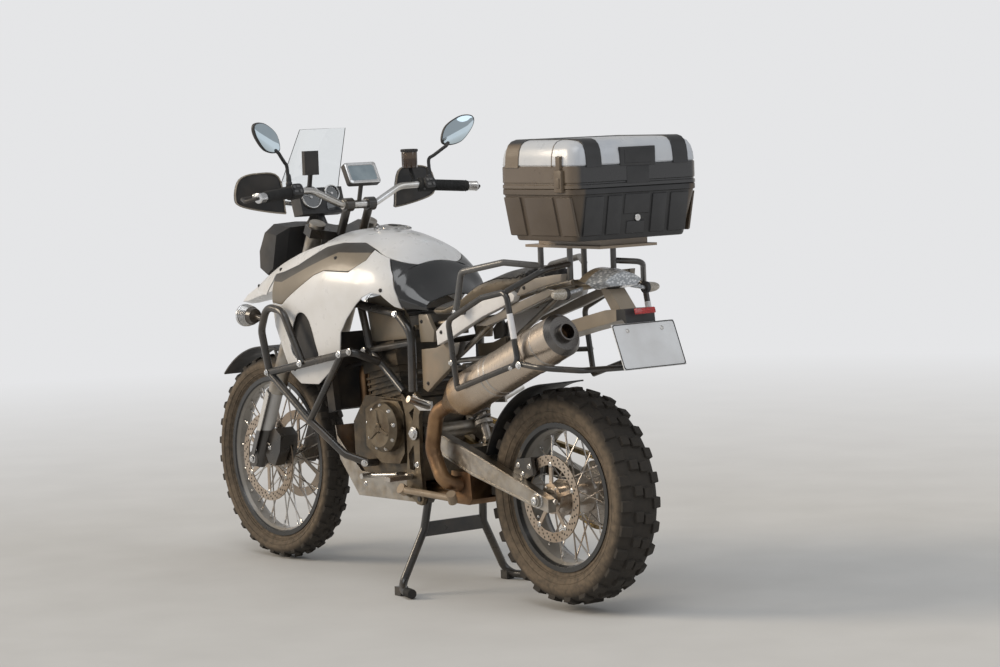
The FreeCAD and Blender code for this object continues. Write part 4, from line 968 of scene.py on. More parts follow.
def build_covers():
    """The covers beside the seat and under the tail, on both sides."""
    # The tan covers are dark grey plastic with painted warm sunlight in their colour.
    tan = coated("sunlit_tan_plastic", SUNLIT_TAN_PLASTIC, (0.28, 0.21, 0.14), 0.38, 0.2)
    grey = coated("dark_cover", GREY_PLASTIC, (0.12, 0.1, 0.08), 0.42, 0.2)
    stripe = coated("tail_stripe", STRIPE_PAINT, (0.64, 0.62, 0.6), 0.3, 0.5)
    panel_grey = coated("tail_grey", TAIL_GREY, (0.26, 0.22, 0.17), 0.36, 0.3)
    rows = [
        ("infill", INFILL, 108, 117.5, tan, "black_plastic", ()),
        ("upper_cover", UPPER_COVER, 104, 121, tan, "black_plastic", ("side_covers",)),
        ("small_cover", SMALL_COVER, 104, 121, grey, "black_plastic", ()),
        ("lower_cover", LOWER_COVER, 104, 124, tan, "black_plastic", ()),
        ("rear_cover", REAR_COVER, 104, 130, grey, "black_plastic", ()),
        ("tail_stripe", TAIL_STRIPE, 122, 148, stripe, "aluminium", ("tail_panels",)),
        ("tail_side", TAIL_PANEL, 122, 146, panel_grey, "aluminium", ()),
        ("tail_lower", TAIL_LOWER, 112, 132, panel_grey, "aluminium", ()),
    ]
    for name, outline, y_in, y_out, material, slot, instead in rows:
        for side, end in SIDES:
            bm = slab(outline, y_in, y_out, side)
            piece(name + "_" + end, bm, slot, instead=instead if side == 1 else (),
                  material=material)


build_shell()
build_bands()
build_wings()
build_nose()
build_covers()


# Tyres, round where the solids' are faceted, with the same lugs in the same places.
def outward(turn):
    """The way from a wheel's axle at a turn from straight up."""
    return Vector((math.sin(turn), 0, math.cos(turn)))


def rolled(axle, turn, radius, y=0.0):
    """A point at a turn and a radius about a wheel's axle, y to the left of its middle."""
    return axle + outward(turn) * radius + Vector((0, y, 0))


def lug(bm, axle, angle, outline, length):
    """A tread block: a (radius, y) outline carried round the tyre, narrower at its top."""
    rows = []
    top = max(radius for radius, _ in outline)
    for share in (-0.5, -0.17, 0.17, 0.5):
        row = []
        for radius, y in outline:
            reach = share * length * (0.87 if radius > top - 0.014 else 1.0)
            row.append(rolled(axle, angle + reach / radius, radius, y))
        rows.append(row)
    skin_rings(bm, rows)


def tread(axle, pitches, shoulder, middle, length, split):
    """All the tread blocks, their corners softened."""
    bm = bmesh.new()
    step = 2 * math.pi / pitches
    for k in range(pitches):
        turn = math.pi + step * k
        for side in (1, -1):
            outer = [(radius, side * y) for radius, y in shoulder]
            inner = [(radius, side * max(y, split)) for radius, y in middle]
            lug(bm, axle, turn + step / 2, outer, length)
            lug(bm, axle, turn + side * step * 0.06, inner, length * 0.94)
    bmesh.ops.recalc_face_normals(bm, faces=bm.faces)
    round_edges(bm, 0.0015, 0.5, 1)
    mesh = bpy.data.meshes.new("tread")
    bm.to_mesh(mesh)
    bm.free()
    return mesh


def circle(axle, radius, y, count=96):
    """Points on a circle about a wheel's axle."""
    return [rolled(axle, 2 * math.pi * k / count, radius, y) for k in range(count)]


def tyre(name, node, body, axle, half_line, rib_rows, blocks, material):
    """A carcass with raised lines on its sidewalls, and the ring of blocks."""
    bm = bmesh.new()
    line = [(p.x, p.y) for p in smoothed([Vector((r, y, 0)) for r, y in half_line], 5)]
    profile = line + [(radius, -y) for radius, y in reversed(line[:-1])]
    rings = []
    for k in range(144):
        rings.append([rolled(axle, 2 * math.pi * k / 144, radius, y) for radius, y in profile])
    skin_rings(bm, rings, closed=True)
    for radius, y in rib_rows:
        for side in (1, -1):
            sweep(bm, circle(axle, radius, side * y), 0.0012, 6, closed=True)
    bmesh.ops.recalc_face_normals(bm, faces=bm.faces)
    bm.from_mesh(blocks)
    bpy.data.meshes.remove(blocks)
    piece(name, bm, "tyre", body, (node,), 40, material=material)


def mm(rows):
    """(radius, y) rows from millimetres into metres."""
    return [(radius / 1000, y / 1000) for radius, y in rows]


tyre("front_tyre_round", "front_tyre", "front_wheel", FRONT_AXLE,
     mm([(267, 26.2), (279, 27.9), (298, 42), (316, 48.6), (333, 40.5), (341, 24), (342.5, 0)]),
     mm([(286, 33.6), (291, 37.6), (306, 46.6)]),
     tread(FRONT_AXLE, 32, mm([(350, 19), (340, 45), (322, 43), (336, 17)]),
           mm([(352, 0), (352, 13), (337, 14), (337, 0)]), 0.026, 0.0012),
     dusty_tyre("front_rubber", FRONT_AXLE, FRONT_R, 0.034))
tyre("rear_tyre_round", "rear_tyre", "rear_wheel", REAR_AXLE,
     mm([(219, 53.2), (231.5, 54.9), (250, 67), (276, 75.5), (303, 68.5), (317, 42), (320, 0)]),
     mm([(240, 61.4), (245, 64.6), (262, 72.4)]),
     tread(REAR_AXLE, 26, mm([(326, 40), (315, 74), (294, 67), (308, 38)]),
           mm([(330, 0), (330, 32), (312, 34), (312, 0)]), 0.036, 0.003),
     dusty_tyre("rear_rubber", REAR_AXLE, REAR_R, 0.046))


def wheel_fittings(name, body, axle, well_r, rim_y):
    """Spoke nipples in the rim's well, and the valve."""
    bm = bmesh.new()
    for side in (1, -1):
        for k in range(18):
            turn = math.radians(20 * (k + 0.25 * side))
            place = rolled(axle, turn, well_r - 0.004, side * rim_y)
            turned(bm, place, -outward(turn), [(0.0042, -0.003), (0.0042, 0.004),
                                               (0.0032, 0.006), (0.0028, 0.016)], 8)
    valve = rolled(axle, 2.0, well_r - 0.003)
    turned(bm, valve, axle - valve, [(0.006, 0), (0.005, 0.006), (0.0032, 0.008), (0.0032, 0.03),
                                     (0.0045, 0.031), (0.0045, 0.038)], 12)
    piece(name, bm, "steel", body, material=SILVER)


wheel_fittings("front_nipples", "front_wheel", FRONT_AXLE, 0.2504, 0.006)
wheel_fittings("rear_nipples", "rear_wheel", REAR_AXLE, 0.2, 0.012)


def disc_buttons(name, body, axle, hub_r, band_r, y, arms):
    """The floating rivets where a disc's arms meet its band, and the bolts of its boss."""
    bm = bmesh.new()
    out = Vector((0, 1 if y > 0 else -1, 0))
    for k in range(arms):
        for radius, size, turn in ((band_r, 0.0062, 0.0), (hub_r + 0.0075, 0.0036, math.pi / arms)):
            place = rolled(axle, 2 * math.pi * k / arms + turn, radius, y)
            bolt(bm, place, out, size, 0.003, six=False)
    piece(name, bm, "steel", body, material=SILVER)


def disc_hole_shades(name, node, body, axle, y, rows, count):
    """Dark discs in rows on a disc's outer face: painted shade standing in for its vent holes."""
    bm = bmesh.new()
    out = Vector((0, 1 if y > 0 else -1, 0))
    for row, radius in enumerate(rows):
        for k in range(count):
            start = rolled(axle, 2 * math.pi * (k + row / 3) / count, radius, 2 * y)
            place, _ = on_node(node, start, -out)
            if place is not None and abs(place.y - y) < 0.006:
                turned(bm, place, out, [(0.0034, -0.0003), (0.0034, 0.00025)], 12)
    piece(name, bm, "frame_black", body, material=MATERIALS["radiator"])


# The outer faces of the discs, in metres from the middle plane.
FRONT_DISC_Y, REAR_DISC_Y = 0.0662, 0.0902
for side_sign, side_name in SIDES:
    disc_hole_shades("front_hole_shades_" + side_name, "front_discs", "front_wheel", FRONT_AXLE,
               side_sign * FRONT_DISC_Y, (0.128, 0.136, 0.144), 32)
disc_hole_shades("rear_hole_shades", "rear_disc", "rear_wheel", REAR_AXLE, REAR_DISC_Y,
           (0.11, 0.118, 0.126), 28)
for side_sign, side_name in SIDES:
    disc_buttons("front_buttons_" + side_name, "front_wheel", FRONT_AXLE, 0.024, 0.121,
                 side_sign * FRONT_DISC_Y, 6)
disc_buttons("rear_buttons", "rear_wheel", REAR_AXLE, 0.032, 0.1035, REAR_DISC_Y, 5)


# The chain's links, on the loop round its two sprockets.
CHAIN_PITCH = 0.015875
FRONT_TEETH, REAR_TEETH = 16, 42


def chain_plates():
    """Link plates and pin heads along both faces of the chain."""
    outer_plate, inner_plate, plate_thick = 0.0092, 0.0072, 0.0016
    front = at(690, -96, 520)
    rear = Vector((REAR_AXLE.x, front.y, REAR_AXLE.z))
    front_r = CHAIN_PITCH / 2 / math.sin(math.pi / FRONT_TEETH)
    rear_r = CHAIN_PITCH / 2 / math.sin(math.pi / REAR_TEETH)
    way = rear - front
    tilt = math.atan2(way.z, way.x)
    lean = math.acos((front_r - rear_r) / way.length)
    run = way.length * math.sin(lean)
    arcs = (front_r * (2 * math.pi - 2 * lean), run, rear_r * 2 * lean, run)
    total = sum(arcs)
    links = round(total / CHAIN_PITCH)

    def ray(angle):
        return Vector((math.cos(angle), 0, math.sin(angle)))

    def place(distance):
        """The point of the chain's loop at a distance along it."""
        if distance < arcs[0]:
            return front + ray(tilt + lean + distance / front_r) * front_r
        distance -= arcs[0]
        if distance < run:
            start = front + ray(tilt - lean) * front_r
            return start.lerp(rear + ray(tilt - lean) * rear_r, distance / run)
        distance -= run
        if distance < arcs[2]:
            return rear + ray(tilt - lean + distance / rear_r) * rear_r
        start = rear + ray(tilt + lean) * rear_r
        return start.lerp(front + ray(tilt + lean) * front_r, (distance - arcs[2]) / run)

    bm = bmesh.new()
    pins = [place(total * k / links) for k in range(links)]
    for k, pin in enumerate(pins):
        other = pins[(k + 1) % links]
        middle = (pin + other) / 2
        along = (other - pin).normalized()
        up = Vector((0, 1, 0)).cross(along)
        reach = (other - pin).length / 2
        for side in (1, -1):
            y = side * (outer_plate if k % 2 else inner_plate)
            ring = []
            for s in range(16):
                turn = 2 * math.pi * s / 16
                a, b = math.cos(turn), math.sin(turn)
                wide = 0.0074 if abs(a) > 0.5 else 0.0058
                ring.append(middle + along * (a * wide + (reach if a > 0 else -reach) *
                                              min(1, abs(a) * 2)) + up * b * wide)
            thick = Vector((0, side * plate_thick, 0))
            skin_rings(bm, [[p + Vector((0, y, 0)) for p in ring],
                            [p + Vector((0, y, 0)) + thick for p in ring]])
            turned(bm, pin + Vector((0, side * 0.0105, 0)), Vector((0, side, 0)),
                   [(0.0028, 0), (0.0028, 0.0016), (0.0018, 0.0022)], 8)
    piece("chain_plates", bm, "chain_gold")


chain_plates()


# The saddle: a padded cover on the seat's stepped form.
def sunlit_flank_share(s):
    """The saddle's flanks get painted warm sunlight, its top stays black."""
    edge = s.ramp(s.axis("X"), at(60, 0, 0).x, at(552, 0, 0).x, 0.088, 0.082)
    return s.ramp(s.math("SUBTRACT", s.side(), edge), 0.0, 0.03)


def saddle_leather():
    """Grained black cover, with painted warm sunlight on its flanks."""
    black = (0.02, 0.02, 0.022)
    sunlit_flank = (0.2, 0.155, 0.1)
    s = Shader("saddle_cover", black, 0.5)
    s.colour(s.mix(sunlit_flank_share(s), s.mix(s.ramp(s.noise(7.0, 5.0), 0.4, 0.7), black,
                                          (0.045, 0.042, 0.038)), sunlit_flank))
    s.roughness(s.ramp(s.noise(40.0, 5.0), 0.3, 0.7, 0.42, 0.6))
    s.set("Sheen Weight", 0.15)
    grain = s.math("ADD", s.cells(900.0), s.math("MULTIPLY", s.noise(30.0, 3.0), 0.6))
    s.bump(grain, 0.0004, 0.6)
    return s.material


def inflated(shell, frames=20, pressure=4.0, cap=0.011):
    """Cloth blown up a little over its foam, held at its base, and never moved past a cap."""
    scene = bpy.context.scene
    hold = shell.vertex_groups.new(name="hold")
    for vertex in shell.data.vertices:
        if vertex.normal.z < -0.5:
            hold.add([vertex.index], 1.0, "REPLACE")
    before = [vertex.co.copy() for vertex in shell.data.vertices]
    cloth = shell.modifiers.new("cloth", "CLOTH")
    cloth.settings.use_pressure = True
    cloth.settings.uniform_pressure_force = pressure
    cloth.settings.effector_weights.gravity = 0
    cloth.settings.vertex_group_mass = "hold"
    cloth.settings.quality = 5
    for step in range(1, frames + 1):
        scene.frame_set(step)
    graph = bpy.context.evaluated_depsgraph_get()
    settled = shell.evaluated_get(graph).data
    after = [vertex.co.copy() for vertex in settled.vertices]
    shell.modifiers.remove(cloth)
    scene.frame_set(1)
    for vertex, old, new in zip(shell.data.vertices, before, after):
        move = new - old
        if move.length > cap:
            move *= cap / move.length
        vertex.co = old + move


def press_seams(data, lines, depth, width):
    """Pulls the cover in along its seams."""
    for vertex in data.vertices:
        near = min((vertex.co - p).length for line in lines for p in line)
        if near < width * 3:
            vertex.co -= vertex.normal * depth * math.exp(-(near / width) ** 2)


def build_saddle():
    """The seat's solid remeshed, blown up as cloth, and pressed in along its seams."""
    bm = bmesh.new()
    bm.from_mesh(nodes["seat"].data)
    bmesh.ops.remove_doubles(bm, verts=bm.verts, dist=0.0002)
    bmesh.ops.recalc_face_normals(bm, faces=bm.faces)
    bm.normal_update()
    for vertex in bm.verts:
        vertex.co -= vertex.normal * 0.0035
    mesh = bpy.data.meshes.new("saddle")
    bm.to_mesh(mesh)
    bm.free()
    shell = bpy.data.objects.new("saddle", mesh)
    bpy.context.scene.collection.objects.link(shell)
    remesh = shell.modifiers.new("remesh", "REMESH")
    remesh.mode = "VOXEL"
    remesh.voxel_size = 0.0055
    soften = shell.modifiers.new("soften", "SMOOTH")
    soften.iterations = 14
    graph = bpy.context.evaluated_depsgraph_get()
    made = bpy.data.meshes.new_from_object(shell.evaluated_get(graph))
    shell.modifiers.clear()
    shell.data = made
    inflated(shell)
    data = shell.data
    data.update()

    def seam(rows):
        """A line over the cover, from (x, share of the half width) rows, dropped on from above."""
        points = []
        for x, share in rows:
            start = at(x, 140 * share, 1200)
            found, place, _, _ = shell.ray_cast(start, Vector((0, 0, -1)))
            if found:
                points.append(place)
        return points

    across = seam([(322 - 14 * (1 - (s / 10) ** 2), s / 12) for s in range(-10, 11)])
    nose = seam([(470 - 10 * (1 - (s / 8) ** 2), s / 11) for s in range(-8, 9)])
    sides = [seam([(x, side * (0.72 if x > 330 else 0.66)) for x in range(96, 540, 8)])
             for side in (1, -1)]
    lines = [smoothed(line, 3) for line in [across, nose] + sides if len(line) > 3]
    press_seams(data, lines, 0.0024, 0.0045)
    for polygon in data.polygons:
        polygon.use_smooth = True
    data.materials.clear()
    data.materials.append(saddle_leather())
    shell.modifiers.new("finer", "SUBSURF").levels = 1
    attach(shell, "chassis")
    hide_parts("seat")
    bm = bmesh.new()
    for line in lines:
        raised = [p + Vector((0, 0, -0.0006)) for p in line]
        sweep(bm, raised[::2], 0.0016, 6)
    piece("saddle_piping", bm, "seat_cover", material=MATERIALS["rubber"])
    bm = bmesh.new()
    for line in lines:
        for k in range(0, len(line) - 2, 2):
            start, end = line[k], line[k + 1]
            gap = (end - start).cross(Vector((0, 0, 1))).normalized() * 0.005
            for shift in (gap, -gap):
                sweep(bm, [start + shift, (start + end) / 2 + shift + Vector((0, 0, 0.0005)),
                           end + shift], 0.0005, 5)
    piece("saddle_stitches", bm, "seat_cover",
          material=coated("seat_thread", (0.16, 0.15, 0.14), (0.1, 0.09, 0.08), 0.7))


build_saddle()


# Controls, mirrors and instruments.
BAR_INNER_Y, BAR_TIP_Y = 236, 440
BAR_INNER = at(1069.6, BAR_INNER_Y, 1276.1)
BAR_TIP = at(1007, BAR_TIP_Y, 1262)
REARWARD = Vector((-1, 0, 0))


def bar_at(y):
    """A point on the straight outer part of the left handlebar, y in millimetres."""
    return BAR_INNER.lerp(BAR_TIP, (y - BAR_INNER_Y) / (BAR_TIP_Y - BAR_INNER_Y))


def flipped(point, side):
    """A point of the left side, or its mirror image when side is -1."""
    return Vector((point.x, point.y * side, point.z))


def domed(bm, line, side, rows, depth):
    """Rings of a closed outline, from rows of (scale about its middle, share of depth)."""
    middle = sum(line, Vector()) / len(line)
    skin_rings(bm, [[flipped(middle + (p - middle) * scale + depth * far, side) for p in line]
                    for scale, far in rows])


def panel(bm, centre, right, up, outline, depth, bevel=0.0015):
    """A flat plate from a (right, up) outline in millimetres, its front edges rounded."""
    out = right.cross(up).normalized()
    front = []
    back = []
    for a, b in outline:
        place = centre + right * (a / 1000) + up * (b / 1000)
        front.append(place + out * depth)
        back.append(place)
    made = skin_rings(bm, [back, front])
    edges = {edge for vertex in made[1] for edge in vertex.link_edges
             if edge.other_vert(vertex) in made[1]}
    if bevel:
        bmesh.ops.bevel(bm, geom=list(edges), offset=bevel, segments=2, affect="EDGES",
                        profile=0.6)


def rounded(width, height, corner, steps=5):
    """A rounded rectangle's outline, centred on zero."""
    out = []
    for quarter, (sx, sy) in enumerate(((1, 1), (-1, 1), (-1, -1), (1, -1))):
        for step in range(steps + 1):
            turn = math.radians(90 * (quarter + step / steps))
            out.append((sx * (width / 2 - corner) + math.cos(turn) * corner,
                        sy * (height / 2 - corner) + math.sin(turn) * corner))
    return out


def build_grips():
    """Ribbed grips with a flange at the inner end, and turned bar ends."""
    ribs = bmesh.new()
    ends = bmesh.new()
    for side in (1, -1):
        start = flipped(bar_at(290), side)
        end = flipped(bar_at(407.5), side)
        way = end - start
        profile = [(0.0172, 0.0), (0.0222, 0.0006), (0.0222, 0.0034), (0.0178, 0.0046)]
        for k in range(21):
            middle = 0.0085 + k * 0.005
            profile += [(0.0176, middle - 0.0022), (0.0188, middle - 0.0014),
                        (0.0188, middle + 0.0014), (0.0176, middle + 0.0022)]
        profile += [(0.0176, 0.1145), (0.0192, 0.1155), (0.0192, 0.1172), (0.0172, 0.1178)]
        turned(ribs, start, way, profile, 28)
        turned(ends, end, way, [(0.0152, 0.001), (0.0158, 0.003), (0.0158, 0.026),
                                (0.0168, 0.028), (0.0168, 0.0325), (0.013, 0.0345),
                                (0.006, 0.0345), (0.005, 0.031)], 28)
    piece("grip_ribs", ribs, "rubber", "steering", sharp=50)
    piece("bar_ends", ends, "aluminium", "steering", material=SILVER)


def build_switches():
    """Switch clusters: a body with buttons on its rear face, and the clamp's two screws."""
    body = bmesh.new()
    buttons = bmesh.new()
    for side in (1, -1):
        place = flipped(bar_at(267), side)
        way = (flipped(bar_at(300), side) - place).normalized()
        back = Vector((-0.93, 0, 0.37))
        up = Vector((0.37, 0, 0.93))
        right = up.cross(back).normalized()
        panel(body, place + back * 0.021, right, up, rounded(42, 38, 9), 0.0065, 0.002)
        rows = [(-11, 8, 9, 9), (3, 9, 14, 7), (-8, -8, 15, 8), (11, -7, 8, 11)]
        for a, b, wide, high in rows:
            panel(buttons, place + back * 0.027 + right * a / 1000 + up * b / 1000, right, up,
                  rounded(wide, high, 2.4), 0.0035, 0.001)
        clamp = place - way * 0.012
        for turn in (0.6, 3.7):
            across, other = square_to(way)
            spoke = across * math.cos(turn) + other * math.sin(turn)
            bolt(buttons, clamp + spoke * 0.0238, spoke, 0.003, six=False)
    piece("switch_bodies", body, "black_plastic", "steering")
    piece("switch_buttons", buttons, "black_plastic", "steering",
          material=coated("button_grey", (0.09, 0.09, 0.092), (0.2, 0.19, 0.17), 0.45))


MIRROR_OUTLINE = [(-58, -34), (-30, -46), (14, -34), (50, 6), (62, 38), (48, 54), (6, 50),
                  (-44, 16)]


def build_mirrors():
    """Teardrop mirror heads with a rounded back and a pale glass, on bent stalks."""
    shells = bmesh.new()
    glass = bmesh.new()
    for side in (1, -1):
        centre = at(1027, 381, 1448)
        line = [at(1027 - 0.25 * s, 381 + s, 1448 + h) for s, h in MIRROR_OUTLINE]
        line = smoothed(line, 6, closed=True)
        depth = Vector((0.02, 0.005, 0))
        domed(shells, line, side, ((0.915, 0.02), (0.955, -0.02), (0.985, 0.06), (0.998, 0.3),
                                   (0.975, 0.55), (0.88, 0.8), (0.7, 0.94), (0.4, 1.0)), depth)
        domed(glass, line, side, ((0.93, 0.05), (0.925, -0.035), (0.9, -0.06)), depth)
        foot = at(1061.5, 282, 1297)
        knee = foot + Vector((0.004, 0.004, 0.062))
        root = centre + Vector((0.006, -0.044, -0.046))
        stalk = [foot - Vector((0.003, 0, 0.018)), foot, foot.lerp(knee, 0.5), knee,
                 knee.lerp(root, 0.3), knee.lerp(root, 0.8), root,
                 root + Vector((0.003, 0.01, 0.01))]
        stalk = [flipped(p, side) for p in smoothed(stalk, 4)]
        sweep(shells, stalk, 0.0058, 14)
        turned(shells, flipped(foot, side), Vector((0.05, 0, 1)),
               [(0.0105, -0.006), (0.0115, -0.004), (0.0115, 0.008), (0.0085, 0.012)], 6)
        turned(shells, flipped(foot, side), Vector((0.05, 0, 1)),
               [(0.0076, 0.01), (0.0088, 0.014), (0.0076, 0.03), (0.006, 0.036)], 20)
    piece("mirror_heads", shells, "black_plastic", "steering", ("mirrors",), 50)
    silvered = lens("mirror_glass", (0.62, 0.72, 0.78), 0.03,
                    ((0.6, 0.72, 0.79), (0.66, 0.76, 0.82)), clouded(14.0, 3.0, 0.3, 0.7),
                    noisy(5.0, 1.0), 0.0004, 0.1, coat=0.0, metal=1.0)
    piece("mirror_glass", glass, "steel", "steering", material=silvered)


def build_navigator():
    """The map screen: a silver frame round a grey-blue display, on its black case."""
    tilt = math.radians(28)
    back = Vector((-math.cos(tilt), 0, math.sin(tilt)))
    up = Vector((math.sin(tilt), 0, math.cos(tilt)))
    right = up.cross(back).normalized()
    centre = at(1057.6, 0, 1320.4)
    case = bmesh.new()
    panel(case, centre - back * 0.0095, right, up, rounded(125, 77, 8), 0.019, 0.0025)
    foot = at(1059.6, 0, 1284.1)
    sweep(case, [foot + Vector((0.016, 0, -0.062)), foot, centre - back * 0.012], 0.0075, 16)
    piece("map_case", case, "black_plastic", "steering", ("nav_unit",))
    rim = bmesh.new()
    width, height = 123, 75
    outer = rounded(width, height, 9, 6)
    rings = []
    for inset, out in ((0, 0.0085), (0, 0.0125), (2.0, 0.014), (9.0, 0.0138), (10.5, 0.0115)):
        narrow, short = 1 - 2 * inset / width, 1 - 2 * inset / height
        rings.append([centre + right * (a * narrow / 1000) + up * (b * short / 1000) + back * out
                      for a, b in outer])
    skin_rings(rim, rings, caps=False)
    piece("map_frame", rim, "aluminium", "steering", material=SILVER)
    screen = bmesh.new()
    panel(screen, centre + back * 0.0092, right, up, rounded(104, 56, 2), 0.0022, 0.0)
    display = lens("map_screen", (0.2, 0.25, 0.28), 0.08,
                   ((0.17, 0.22, 0.25), (0.28, 0.34, 0.37)), clouded(16.0, 4.0, 0.35, 0.65),
                   noisy(4.0, 1.0), 0.0003, 0.1)
    piece("map_screen", screen, "screen", "steering", material=display)


def build_handguards():
    """The hand guards' domed shields and their pale rolled edges."""
    edges = bmesh.new()
    shells = bmesh.new()
    shield = [(0, -52), (14, -66), (150, -40), (178, -10), (160, 50), (96, 66), (20, 52)]
    root = bar_at(222) + Vector((0.104, 0.008, -0.008))
    for side in (1, -1):
        line = [root + Vector(((8 + 0.1 * s - 3) / 1000, (s - 6) / 1000, h / 1000))
                for s, h in shield]
        line = smoothed(line, 5, closed=True)
        domed(shells, line, side, ((1.0, -0.002), (1.012, 0.0), (1.012, 0.003), (0.985, 0.008),
                                   (0.9, 0.014), (0.6, 0.021), (0.25, 0.024)), Vector((1, 0, 0)))
        middle = sum(line, Vector()) / len(line)
        rim = [flipped(middle + (p - middle) * 1.006 + Vector((-0.0045, 0, 0)), side)
               for p in line]
        sweep(edges, rim, 0.0026, 8, closed=True)
    piece("guard_shields", shells, "black_plastic", "steering", sharp=60)
    # The rolled edges are a plain pale tone.
    piece("guard_edges", edges, "black_plastic", "steering",
          material=coated("pale_edge", (0.36, 0.31, 0.25), (0.2, 0.18, 0.15), 0.4))


def build_reservoir():
    """The front brake's pot: a brown-tinted cup under a ribbed lid."""
    foot = at(1101.2, -251.7, 1281.6) + Vector((0.014, 0.01, 0.05))
    cup = bmesh.new()
    turned(cup, foot, Vector((0, 0, 1)), [(0.02, -0.0015), (0.0266, 0.001), (0.0266, 0.05),
                                         (0.0255, 0.054)], 40)
    tinted = lens("tinted_pot", (0.07, 0.042, 0.024), 0.12,
                  ((0.05, 0.027, 0.014), (0.1, 0.066, 0.04)),
                  rising("Z", foot.z + 0.028, foot.z + 0.034), noisy(60.0, 2.0), 0.0002, 0.3,
                  coat=0.8)
    piece("brake_pot", cup, "black_plastic", "steering", material=tinted)
    lid = bmesh.new()
    turned(lid, foot, Vector((0, 0, 1)), [(0.0282, 0.053), (0.0288, 0.055), (0.0288, 0.061),
                                         (0.0275, 0.0625), (0.02, 0.063), (0.019, 0.0622),
                                         (0.006, 0.0622)], 40)
    for k in range(24):
        turn = 2 * math.pi * k / 24
        out = Vector((math.cos(turn), math.sin(turn), 0))
        sweep(lid, [foot + out * 0.0287 + Vector((0, 0, 0.055)),
                    foot + out * 0.0287 + Vector((0, 0, 0.061))], 0.0009, 6)
    piece("pot_lid", lid, "black_plastic", "steering")


def build_filler():
    """The filler cap: a locking disc in a bolted ring on the tank's crown."""
    place, normal = on_node("upper_shell", at(890, 0, 1400), Vector((0, 0, -1)))
    if place is None:
        return
    bm = bmesh.new()
    turned(bm, place, normal, [(0.062, -0.004), (0.062, 0.003), (0.058, 0.005), (0.046, 0.005),
                               (0.044, 0.003), (0.041, 0.003), (0.04, 0.0075), (0.036, 0.01),
                               (0.012, 0.0115), (0.0, 0.0115)], 48)
    across, up = square_to(normal)
    for k in range(7):
        turn = 2 * math.pi * k / 7
        spoke = across * math.cos(turn) + up * math.sin(turn)
        bolt(bm, place + spoke * 0.052 + normal * 0.0045, normal, 0.0036, 0.0028, six=False)
    piece("filler_cap", bm, "aluminium", material=SILVER)
    flap = bmesh.new()
    panel(flap, place + normal * 0.0105, across, up, rounded(20, 34, 6), 0.003, 0.001)
    piece("filler_lock", flap, "black_plastic")


def build_dash():
    """Two dials and a small display on the instrument panel's rear face."""
    rings = bmesh.new()
    faces = bmesh.new()
    needles = bmesh.new()
    low = at(1274, 0, 1190)
    top = at(1300, 0, 1276)
    up = (top - low).normalized()
    back = Vector((-up.z, 0, up.x))
    right = up.cross(back).normalized()

    def on_face(a, b):
        """The place on the panel's rear face, from its middle to the right and up."""
        spot = (low + top) / 2 + right * a + up * b
        place, _ = on_node("cockpit", spot + back * 0.2, -back)
        return place or spot

    for a, b, radius in ((-0.044, 0.012, 0.036), (0.042, 0.022, 0.026)):
        centre = on_face(a, b)
        turned(rings, centre, back, [(radius + 0.004, -0.002), (radius + 0.004, 0.006),
                                     (radius + 0.002, 0.0085), (radius, 0.0085),
                                     (radius - 0.001, 0.003)], 44, caps=False)
        turned(faces, centre, back, [(radius, 0.001), (radius, 0.003), (0.0, 0.003)], 44)
        for k in range(13):
            turn = math.radians(-125 + k * 250 / 12)
            spoke = up * math.cos(turn) + right * math.sin(turn)
            sweep(needles, [centre + spoke * (radius - 0.008) + back * 0.0034,
                            centre + spoke * (radius - 0.003) + back * 0.0034], 0.0006, 5)
        spoke = up * math.cos(-1.3) + right * math.sin(-1.3)
        sweep(needles, [centre - spoke * 0.005 + back * 0.0045,
                        centre + spoke * (radius - 0.009) + back * 0.0045], 0.0009, 6)
        turned(needles, centre, back, [(0.0045, 0.003), (0.0045, 0.0055), (0.0, 0.006)], 16)
    panel(faces, on_face(0.042, -0.022), right, up, rounded(56, 26, 4), 0.002, 0.0006)
    piece("dial_rings", rings, "aluminium", material=SILVER)
    dark_glass = lens("dial_glass", (0.03, 0.032, 0.034), 0.07,
                      ((0.028, 0.03, 0.033), (0.05, 0.052, 0.055)),
                      clouded(20.0, 3.0, 0.4, 0.7), noisy(6.0, 1.0), 0.0003, 0.1)
    piece("dial_faces", faces, "black_plastic", material=dark_glass)
    piece("dial_marks", needles, "plate_white", material=PALE_STRIPE)


build_grips()
build_switches()
build_mirrors()
build_navigator()
build_handguards()
build_reservoir()
build_filler()
build_dash()


# The top case: a ribbed tub, and a lid whose deep black rim carries pale panels and straps.
# The lid's outline above its rim: how far it draws in, and its height.
LID_LINE = [(-0.5, 1358), (1, 1380), (5, 1400), (12, 1415), (24, 1425), (42, 1430)]


def case_ring(z, draw_x, draw_y, corner=36):
    """The case's rounded outline at a height, drawn in from its full length and width."""
    middle = (CASE_REAR + CASE_FRONT) / 2
    wide = CASE_FRONT - CASE_REAR - 2 * draw_x
    return [at(middle + a, b, z) for a, b in rounded(wide, 2 * (CASE_HALF - draw_y), corner, 6)]


def tub_draw(z):
    """How far the tub's rear and side faces stand in at a height."""
    share = (CASE_SEAM - 16 - z) / (CASE_SEAM - 16 - CASE_FLOOR)
    return 2 + 24 * share, 2 + 28 * share


def oblong(a0, a1, b0, b1):
    """The four corners of an upright rectangle, in order."""
    return (a0, b0), (a1, b0), (a1, b1), (a0, b1)


def pad(bm, corners, out, depth, bevel=0.0015):
    """A raised four-sided pad on a face."""
    middle = sum(corners, Vector()) / 4
    top = [p + (middle - p).normalized() * 0.0015 + out * depth for p in corners]
    made = skin_rings(bm, [[p - out * 0.004 for p in corners], list(corners), top])
    edges = {e for v in made[2] for e in v.link_edges}
    bmesh.ops.bevel(bm, geom=list(edges), offset=bevel, segments=2, affect="EDGES", profile=0.6)


